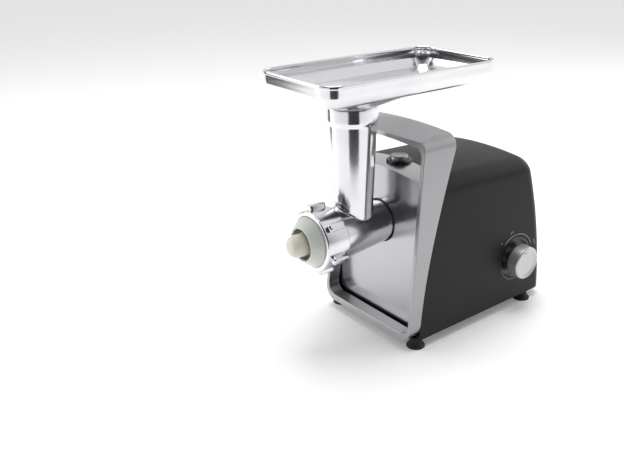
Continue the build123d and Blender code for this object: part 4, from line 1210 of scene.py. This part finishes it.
# ---------------------------------------------------------------- tray
@dataclass
class Tray:
    """The stamped food tray: hemmed rim, upright wall, sloped shoulder, dished floor and spout."""

    places: Places
    half_width: float = 67.7
    front: float = -82.6
    rear: float = 175.6
    rim: float = 340.0
    corner: float = 20.0
    wall: float = 1.5
    crease: tuple[float, float] = (1.8, 326.0)
    dish: tuple[float, float] = (8.0, 314.5)
    mouth: tuple[float, float] = (30.7, 300.0)
    spout: float = 27.5
    spout_depth: float = 16.0

    def ring(self, inset: float) -> np.ndarray:
        """Rounded rectangle of the tray, as (x, y), set in from its outer edge."""
        x, low, high = self.half_width - inset, self.front + inset, self.rear - inset
        r = self.corner - min(inset, 9.0) * 0.8
        corners = [(-x, low, r), (x, low, r), (x, high, r), (-x, high, r)]
        steps = 16
        after = {steps + k * (steps + 1): n for k, n in enumerate((26, 52, 26, 52))}
        return subdivided(rounded(corners, steps), after)

    def level(self, inset: float, z: float, share: float = 0.0, radius: float = 0.0) -> np.ndarray:
        """One line round the tray.

        Args:
            inset: how far inside the outer edge it starts.
            z: its height.
            share: how far it has closed in on the throat.
            radius: the throat's radius there.

        Returns:
            The line's points.
        """
        plan = self.ring(inset)
        angle = np.arctan2(plan[:, 1], plan[:, 0])
        throat = radius * np.stack((np.cos(angle), np.sin(angle)), axis=1)
        plan = plan * (1 - share) + throat * share
        return np.column_stack((plan, np.full(len(plan), z)))

    def pan(self) -> bpy.types.Object:
        """Builds the tray as lines from the rim down its outside, through the spout and up its inside."""
        (ci, cz), (di, dz), (mr, mz), w = self.crease, self.dish, self.mouth, self.wall
        top = self.rim
        outside = [(1.2, top), (0.5, top - 0.2), (0.1, top - 0.7), (0, top - 1.4), (0, top - 3.0), (0.15, top - 3.5),
                   (0.6, top - 3.8), (0.75, top - 4.4), (1.2, cz + 5), (ci - 0.12, cz + 0.9), (ci, cz + 0.2),
                   (ci + 0.25, cz - 0.5), (ci + 2.6, cz - 4.8), (di - 1.6, dz + 2.9), (di - 0.5, dz + 1.0)]
        rows = [self.level(inset, z) for inset, z in outside]
        shares = np.concatenate(([0.012, 0.03, 0.06], np.linspace(0.1, 0.9, 13), [0.95, 0.98, 1.0]))
        for share in shares:
            rows.append(self.level(di, dz + (mz - dz) * share, share, mr))
        low = mz - self.spout_depth
        for radius, z in [(mr - 0.6, mz), (self.spout + 0.4, mz), (self.spout, mz - 0.6), (self.spout, mz - 8),
                          (self.spout, low + 0.5), (self.spout - 0.4, low), (self.spout - w + 0.3, low),
                          (self.spout - w, low + 0.5), (self.spout - w, mz - 8), (self.spout - w, mz - 1),
                          (self.spout - w + 0.3, mz + 0.6), (self.spout - w + 1.4, mz + 1.5)]:
            rows.append(self.level(di, z, 1.0, radius))
        for share in shares[::-1]:
            rows.append(self.level(di + w, dz + w + (mz - dz) * share, share, mr - w + 0.2))
        inside = [(di - 0.5 + w, dz + 1.0 + w), (di - 1.6 + w, dz + 2.9 + w), (ci + 2.6 + w, cz - 4.4),
                  (ci + 0.25 + w, cz - 0.1), (ci + w, cz + 0.6), (ci - 0.12 + w, cz + 1.2), (1.2 + w, cz + 5),
                  (0.9 + w, top - 4.4), (1.05 + w, top - 3.9), (1.2 + w, top - 3.3), (1.2 + w, top - 1.2),
                  (0.9 + w, top - 0.5), (0.5 + w, top - 0.1)]
        rows += [self.level(inset, z) for inset, z in inside]
        return smooth(Form().grid(np.stack(rows), True, True).made("food_pan", self.places), 50.0)

    def build(self) -> None:
        """Builds and dresses the tray."""
        dressed(self.pan(), TRAY_METAL, "tray", "food_tray")


# ---------------------------------------------------------------- controls and feet
@dataclass
class Controls:
    """Release button with its bezel, and the speed knob in its dish with the printed dial."""

    body: Body
    button_radius: float = 11.5
    button_height: float = 8.0
    bezel_radius: float = 16.0
    bezel_height: float = 3.0
    knob_radius: float = 22.5
    face: float = 105.0
    back: float = 89.0
    dish_radius: float = 31.0
    dish_depth: float = 5.0
    dial_radius: float = 34.6
    dial_line: float = 0.9
    dial: tuple[float, float] = (-41.5, 67.5)
    marks: tuple[float, ...] = (-44.0, -13.0, 69.0)
    mark_radius: float = 41.0

    @property
    def places(self) -> Places:
        """The frame's places."""
        return self.body.places

    def button(self) -> bpy.types.Object:
        """The cap, with a shallow finger dish and a stem."""
        deck, r = self.body.deck, self.button_radius
        top = deck + self.button_height
        profile = rounded([(0, deck - 11.4, 0), (5, deck - 11.4, 0), (5, deck - 6.5, 0), (r, deck - 6.5, 0.5),
                           (r, top, 1.5), (r - 2.6, top, 0.8), (r - 3.4, top - 0.5, 1.2), (0, top - 0.9, 0)], 6)
        return smooth(Form().turned(profile, Axis.Z, (0, self.places.button_y), 96).made("button_cap", self.places))

    def bezel(self) -> bpy.types.Object:
        """The ring that the button moves in."""
        deck, inner = self.body.deck, self.button_radius + 0.3
        top = deck + self.bezel_height
        profile = rounded([(inner, deck - 10, 0), (self.bezel_radius - 2.2, deck - 10, 0),
                           (self.bezel_radius - 2.2, deck - 0.6, 0), (self.bezel_radius, deck - 0.6, 0),
                           (self.bezel_radius, top, 1.4), (inner, top, 0.6)], 6)
        return smooth(Form().turned(profile, Axis.Z, (0, self.places.button_y), 96).made("button_ring", self.places))

    def knob(self) -> bpy.types.Object:
        """The knob, with a hollow face inside a rounded rim."""
        r, floor = self.knob_radius, self.body.half_at(self.places.knob_z) - self.dish_depth
        profile = rounded([(0, self.face - 2.4, 0), (r - 6.5, self.face - 1.9, 14), (r - 2.4, self.face, 1.6),
                           (r - 0.3, self.face - 1.4, 1.2), (r + 0.6, self.back + 1.2, 0.8), (r - 0.4, self.back, 0.6),
                           (12.5, self.back, 1), (11.0, floor + 0.6, 0), (0, floor + 0.6, 0)], 6)
        form = Form().turned(profile, Axis.X, (self.places.knob_y, self.places.knob_z), 144)
        return smooth(form.made("speed_knob", self.places), 45.0)

    def pointer(self) -> bpy.types.Object:
        """The dark spot on the knob's face, sunk a little into it."""
        y, z = self.places.knob_y - 3.0, self.places.knob_z + 15.0
        profile = rounded([(0, self.face - 2.6, 0), (1.3, self.face - 2.6, 0), (1.3, self.face - 1.55, 0.3),
                           (0, self.face - 1.55, 0)], 4)
        return smooth(Form().turned(profile, Axis.X, (y, z), 32).made("knob_spot", self.places))

    def dial_marks(self) -> bpy.types.Object:
        """The printed arc round the dish, with a short bar at each setting."""
        y0, z0 = self.places.knob_y, self.places.knob_z
        angles = np.radians(np.linspace(*self.dial, 64))
        rows = []
        for offset, proud in ((-0.5, -0.1), (-0.5, 0.05), (0.5, 0.05), (0.5, -0.1)):
            radius = self.dial_radius + offset * self.dial_line
            y, z = y0 + radius * np.sin(angles), z0 + radius * np.cos(angles)
            rows.append(np.stack((self.body.half_at(z) + proud, y, z), axis=1))

        form = Form().grid(np.stack(rows), True, False)
        form.faces += [(0, 64, 128, 192), (63, 127, 191, 255)]

        piece = form.made("dial_print", self.places)
        centre = self.places.row(np.array((self.body.half_at(z0), y0, z0)))
        for i, angle in enumerate(self.marks):
            plan = rounded([(-0.45, -1.7, 0.4), (0.45, -1.7, 0.4), (0.45, 1.7, 0.4), (-0.45, 1.7, 0.4)], 4)
            bar = Form().stacked([np.array([(level, a, self.mark_radius + b) for a, b in plan])
                                  for level in (-0.1, 0.05)])
            copies = RingOfCopies(f"dial_bar_{i}", Axis.X, PRINT_GREY)
            copies.join(piece, bar.made("bar", None), i + 1, -angle - 2.2 * i, 4.4, centre, -self.body.taper)
        return piece

    def build(self) -> None:
        """Builds and dresses the button, bezel, knob, spot, dish and dial."""
        dressed(self.button(), BUTTON_STEEL, "button", "release_button")
        dressed(self.bezel(), GLOSS_BLACK, "housing", "button_bezel")
        dressed(self.knob(), KNOB_SILVER, "knob", "control_knob")
        dressed(self.pointer(), GLOSS_BLACK, "knob")
        dish = even_faces(eased(merged_copy("knob_dish", "knob_recess"), 0.5, 3, 40.0))
        dressed(dish, GLOSS_BLACK, "housing", "knob_dish")
        dressed(self.dial_marks(), PRINT_GREY, "housing")


@dataclass
class Feet:
    """Four rubber feet with a waist and a ringed sole."""

    places: Places
    radius: float = 12.0
    neck: float = 7.5
    spots: Mapping[str, tuple[float, float]] = field(
        default_factory=lambda: {"front": (76.0, 38.0), "rear": (78.0, 240.0)})

    def foot(self, name: str, x: float, y: float) -> bpy.types.Object:
        """One foot, turned about its own upright line."""
        r, n = self.radius, self.neck
        profile = rounded([(0, 0.6, 0), (r - 6, 0.6, 0.3), (r - 5, 0, 0.3), (r - 0.2, 0, 0.6), (r, 1.6, 0.8),
                           (r - 1.6, 3.4, 0.8), (n + 0.4, 7.5, 2), (n, 10, 0), (n, 14.0, 0), (0, 14.0, 0)], 5)
        return smooth(Form().turned(profile, Axis.Z, (x, y), 72).made(name, self.places))

    def build(self) -> None:
        """Builds and dresses the four feet."""
        for row, (x, y) in self.spots.items():
            for side, hand in ((-1, "left"), (1, "right")):
                piece = self.foot(f"rubber_{row}_{hand}", side * x, y)
                dressed(piece, RUBBER, "housing", f"foot_{row}_{hand}")


# ---------------------------------------------------------------- inside
@dataclass
class Inside:
    """The working parts inside, which keep their own shapes and get their finishes."""

    finishes: Mapping[Finish, tuple[str, ...]] = field(default_factory=lambda: {
        BODY_BLACK: ("base_plate",),
        GEARBOX: ("gearbox_housing", "gearbox_cover", "rotary_switch", "head_socket", "cooling_fan"),
        NYLON: ("output_gear", "second_wheel", "first_wheel", "drive_bush", "latch_slider"),
        STEEL: ("base_screws", "gearbox_screws", "gear_pins", "motor_bolts", "output_shaft", "second_pinion",
                "first_pinion", "motor_shaft", "motor_pinion", "switch_spindle", "button_spring",
                "motor_front_bearing", "motor_rear_bearing"),
        BRONZE: ("output_bearing", "head_bush"),
        AUGER_METAL: ("auger",),
        LAMINATIONS: ("motor_stator", "armature_core"),
        BRACKET: ("motor_front_bracket", "motor_rear_bracket"),
        COPPER: ("field_coils", "armature_winding", "commutator"),
        BRASS: ("brush_holders",),
        CARBON: ("carbon_brushes",),
        BOARD: ("control_board",),
    })

    def build(self, nodes: Mapping[str, bpy.types.Object]) -> None:
        """Dresses the nodes that stay.

        Args:
            nodes: every node of the frame by name.
        """
        for finish, names in self.finishes.items():
            for name in names:
                node = nodes[name]
                node.data.materials.clear()
                node.data.materials.append(finish.material())
                LOG.info("%s: kept, %s", name, finish.name)
        left = [n for n, node in nodes.items() if not node.hide_render and not any(
            n in names for names in self.finishes.values())]
        if left:
            LOG.warning("no finish for %s", left)


# ---------------------------------------------------------------- studio
@dataclass
class Studio:
    """Pale floor, soft light and the camera."""

    places: Places
    floor: float = 14.0
    camera_at: tuple[float, float, float] = (0.63665, -0.60105, 0.4933)
    looks_at: tuple[float, float, float] = (0.07475, -0.13065, 0.170)
    lens: float = 42.03
    shift: tuple[float, float] = (-0.0976, 0.0157)
    world_light: float = 0.85
    dark_side: tuple[float, float, float] = (0.766, -0.642, 0.0)
    dark_tone: Colour = (0.05, 0.05, 0.055)

    def ground(self) -> None:
        """Lays the floor, a little uneven in tone."""
        half = self.floor / 2
        mesh = bpy.data.meshes.new("floor")
        mesh.from_pydata([(-half, -half, 0), (half, -half, 0), (half, half, 0), (-half, half, 0)], [], [(0, 1, 2, 3)])
        floor = bpy.data.objects.new("floor", mesh)
        bpy.context.scene.collection.objects.link(floor)
        recipe = Recipe("pale_floor")
        cloud = recipe.noise(400.0, 2.0)
        recipe.set(Base_Color=recipe.mixed(cloud, (0.86, 0.86, 0.86), (0.88, 0.88, 0.88)), Roughness=0.45)
        recipe.set(Emission_Color=(1.0, 1.0, 1.0), Emission_Strength=0.16)
        mesh.materials.append(recipe.material)

    def lamp(self, name: str, at: Sequence[float], size: tuple[float, float], power: float) -> None:
        """Hangs one soft light that faces the object.

        Args:
            name: the light's name.
            at: where it hangs, in metres.
            size: its width and height in metres.
            power: its power in watts.
        """
        data = bpy.data.lights.new(name, "AREA")
        data.shape, data.size, data.size_y, data.energy = "RECTANGLE", size[0], size[1], power
        lamp = bpy.data.objects.new(name, data)
        lamp.location = at
        aim = Vector((self.places.origin[0], 0.0, 0.16)) - Vector(at)
        lamp.rotation_mode, lamp.rotation_quaternion = "QUATERNION", aim.to_track_quat("-Z", "Y")
        bpy.context.scene.collection.objects.link(lamp)

    def card(self, name: str, azimuth: float, distance: float, width: float, heights: tuple[float, float]) -> None:
        """Stands up a dark card that only polished surfaces mirror.

        Args:
            name: the card's name.
            azimuth: where it stands round the neck, in degrees.
            distance: how far from the neck, in metres.
            width: its width in metres.
            heights: its lower and upper edge in metres.
        """
        a = math.radians(azimuth)
        out = Vector((math.sin(a), -math.cos(a), 0))
        across = Vector((math.cos(a), math.sin(a), 0)) * width / 2
        foot = Vector(self.places.origin) + out * distance
        corners = [foot + side * across + Vector((0, 0, z)) for side, z in
                   ((-1, heights[0]), (1, heights[0]), (1, heights[1]), (-1, heights[1]))]
        mesh = bpy.data.meshes.new(name)
        mesh.from_pydata([tuple(c) for c in corners], [], [(0, 1, 2, 3)])
        card = bpy.data.objects.new(name, mesh)
        bpy.context.scene.collection.objects.link(card)
        card.visible_camera = card.visible_diffuse = card.visible_shadow = False
        recipe = Recipe(f"{name}_cloth")
        recipe.set(Base_Color=recipe.mixed(recipe.noise(30.0), (0.01, 0.01, 0.011), (0.02, 0.02, 0.021)), Roughness=0.9)
        mesh.materials.append(recipe.material)

    def sky(self) -> None:
        """Soft light from all round, with darker stretches for the metal to mirror."""
        world = bpy.data.worlds.new("studio")
        world.use_nodes = True
        bpy.context.scene.world = world
        tree = world.node_tree
        background = tree.nodes["Background"]
        place = tree.nodes.new("ShaderNodeTexCoord")
        split = tree.nodes.new("ShaderNodeVectorMath")
        split.operation = "DOT_PRODUCT"
        split.inputs[1].default_value = self.dark_side
        ramp = tree.nodes.new("ShaderNodeValToRGB")
        ramp.color_ramp.interpolation = "EASE"
        ramp.color_ramp.elements[0].position, ramp.color_ramp.elements[0].color = 0.10, (1.0, 1.0, 1.0, 1.0)
        ramp.color_ramp.elements[1].position, ramp.color_ramp.elements[1].color = 0.62, (*self.dark_tone, 1.0)
        tree.links.new(place.outputs["Generated"], split.inputs[0])
        tree.links.new(split.outputs["Value"], ramp.inputs[0])
        tree.links.new(ramp.outputs[0], background.inputs["Color"])
        background.inputs["Strength"].default_value = self.world_light
        bpy.context.scene.view_settings.view_transform = "Standard"

    def build(self) -> None:
        """Sets up floor, light and camera."""
        self.ground()
        self.sky()
        self.card("card_near", 60.0, 0.46, 0.40, (0.04, 0.42))
        self.card("card_left", -62.0, 0.80, 0.22, (0.0, 0.60))
        self.lamp("top_softbox", (-0.15, 0.1, 1.9), (1.0, 1.0), 24.0)
        self.lamp("left_softbox", (-1.4, -1.3, 0.8), (0.7, 1.6), 9.0)
        self.lamp("rear_softbox", (0.3, 1.9, 0.9), (1.6, 0.9), 6.0)
        data = bpy.data.cameras.new("camera")
        data.lens, data.sensor_width, data.sensor_fit = self.lens, 36.0, "HORIZONTAL"
        data.shift_x, data.shift_y = self.shift
        data.clip_start, data.clip_end = 0.01, 60.0
        camera = bpy.data.objects.new("camera", data)
        camera.location = self.camera_at
        camera.rotation_mode = "QUATERNION"
        camera.rotation_quaternion = (Vector(self.looks_at) - Vector(self.camera_at)).to_track_quat("-Z", "Y")
        bpy.context.scene.collection.objects.link(camera)
        bpy.context.scene.camera = camera


def main() -> None:
    """Builds every sub-assembly in order."""
    logging.basicConfig(level=logging.INFO, format="%(name)s: %(message)s")
    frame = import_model()
    places = Places.read(frame["record"])
    body = Body(places)
    body.build()
    FrontFrame(body).build()
    Head(places).build()
    FrontEnd(places).build()
    Tray(places).build()
    Controls(body).build()
    Feet(places).build()
    Inside().build(frame["nodes"])
    Studio(places).build()


if __name__ == "__main__":
    main()
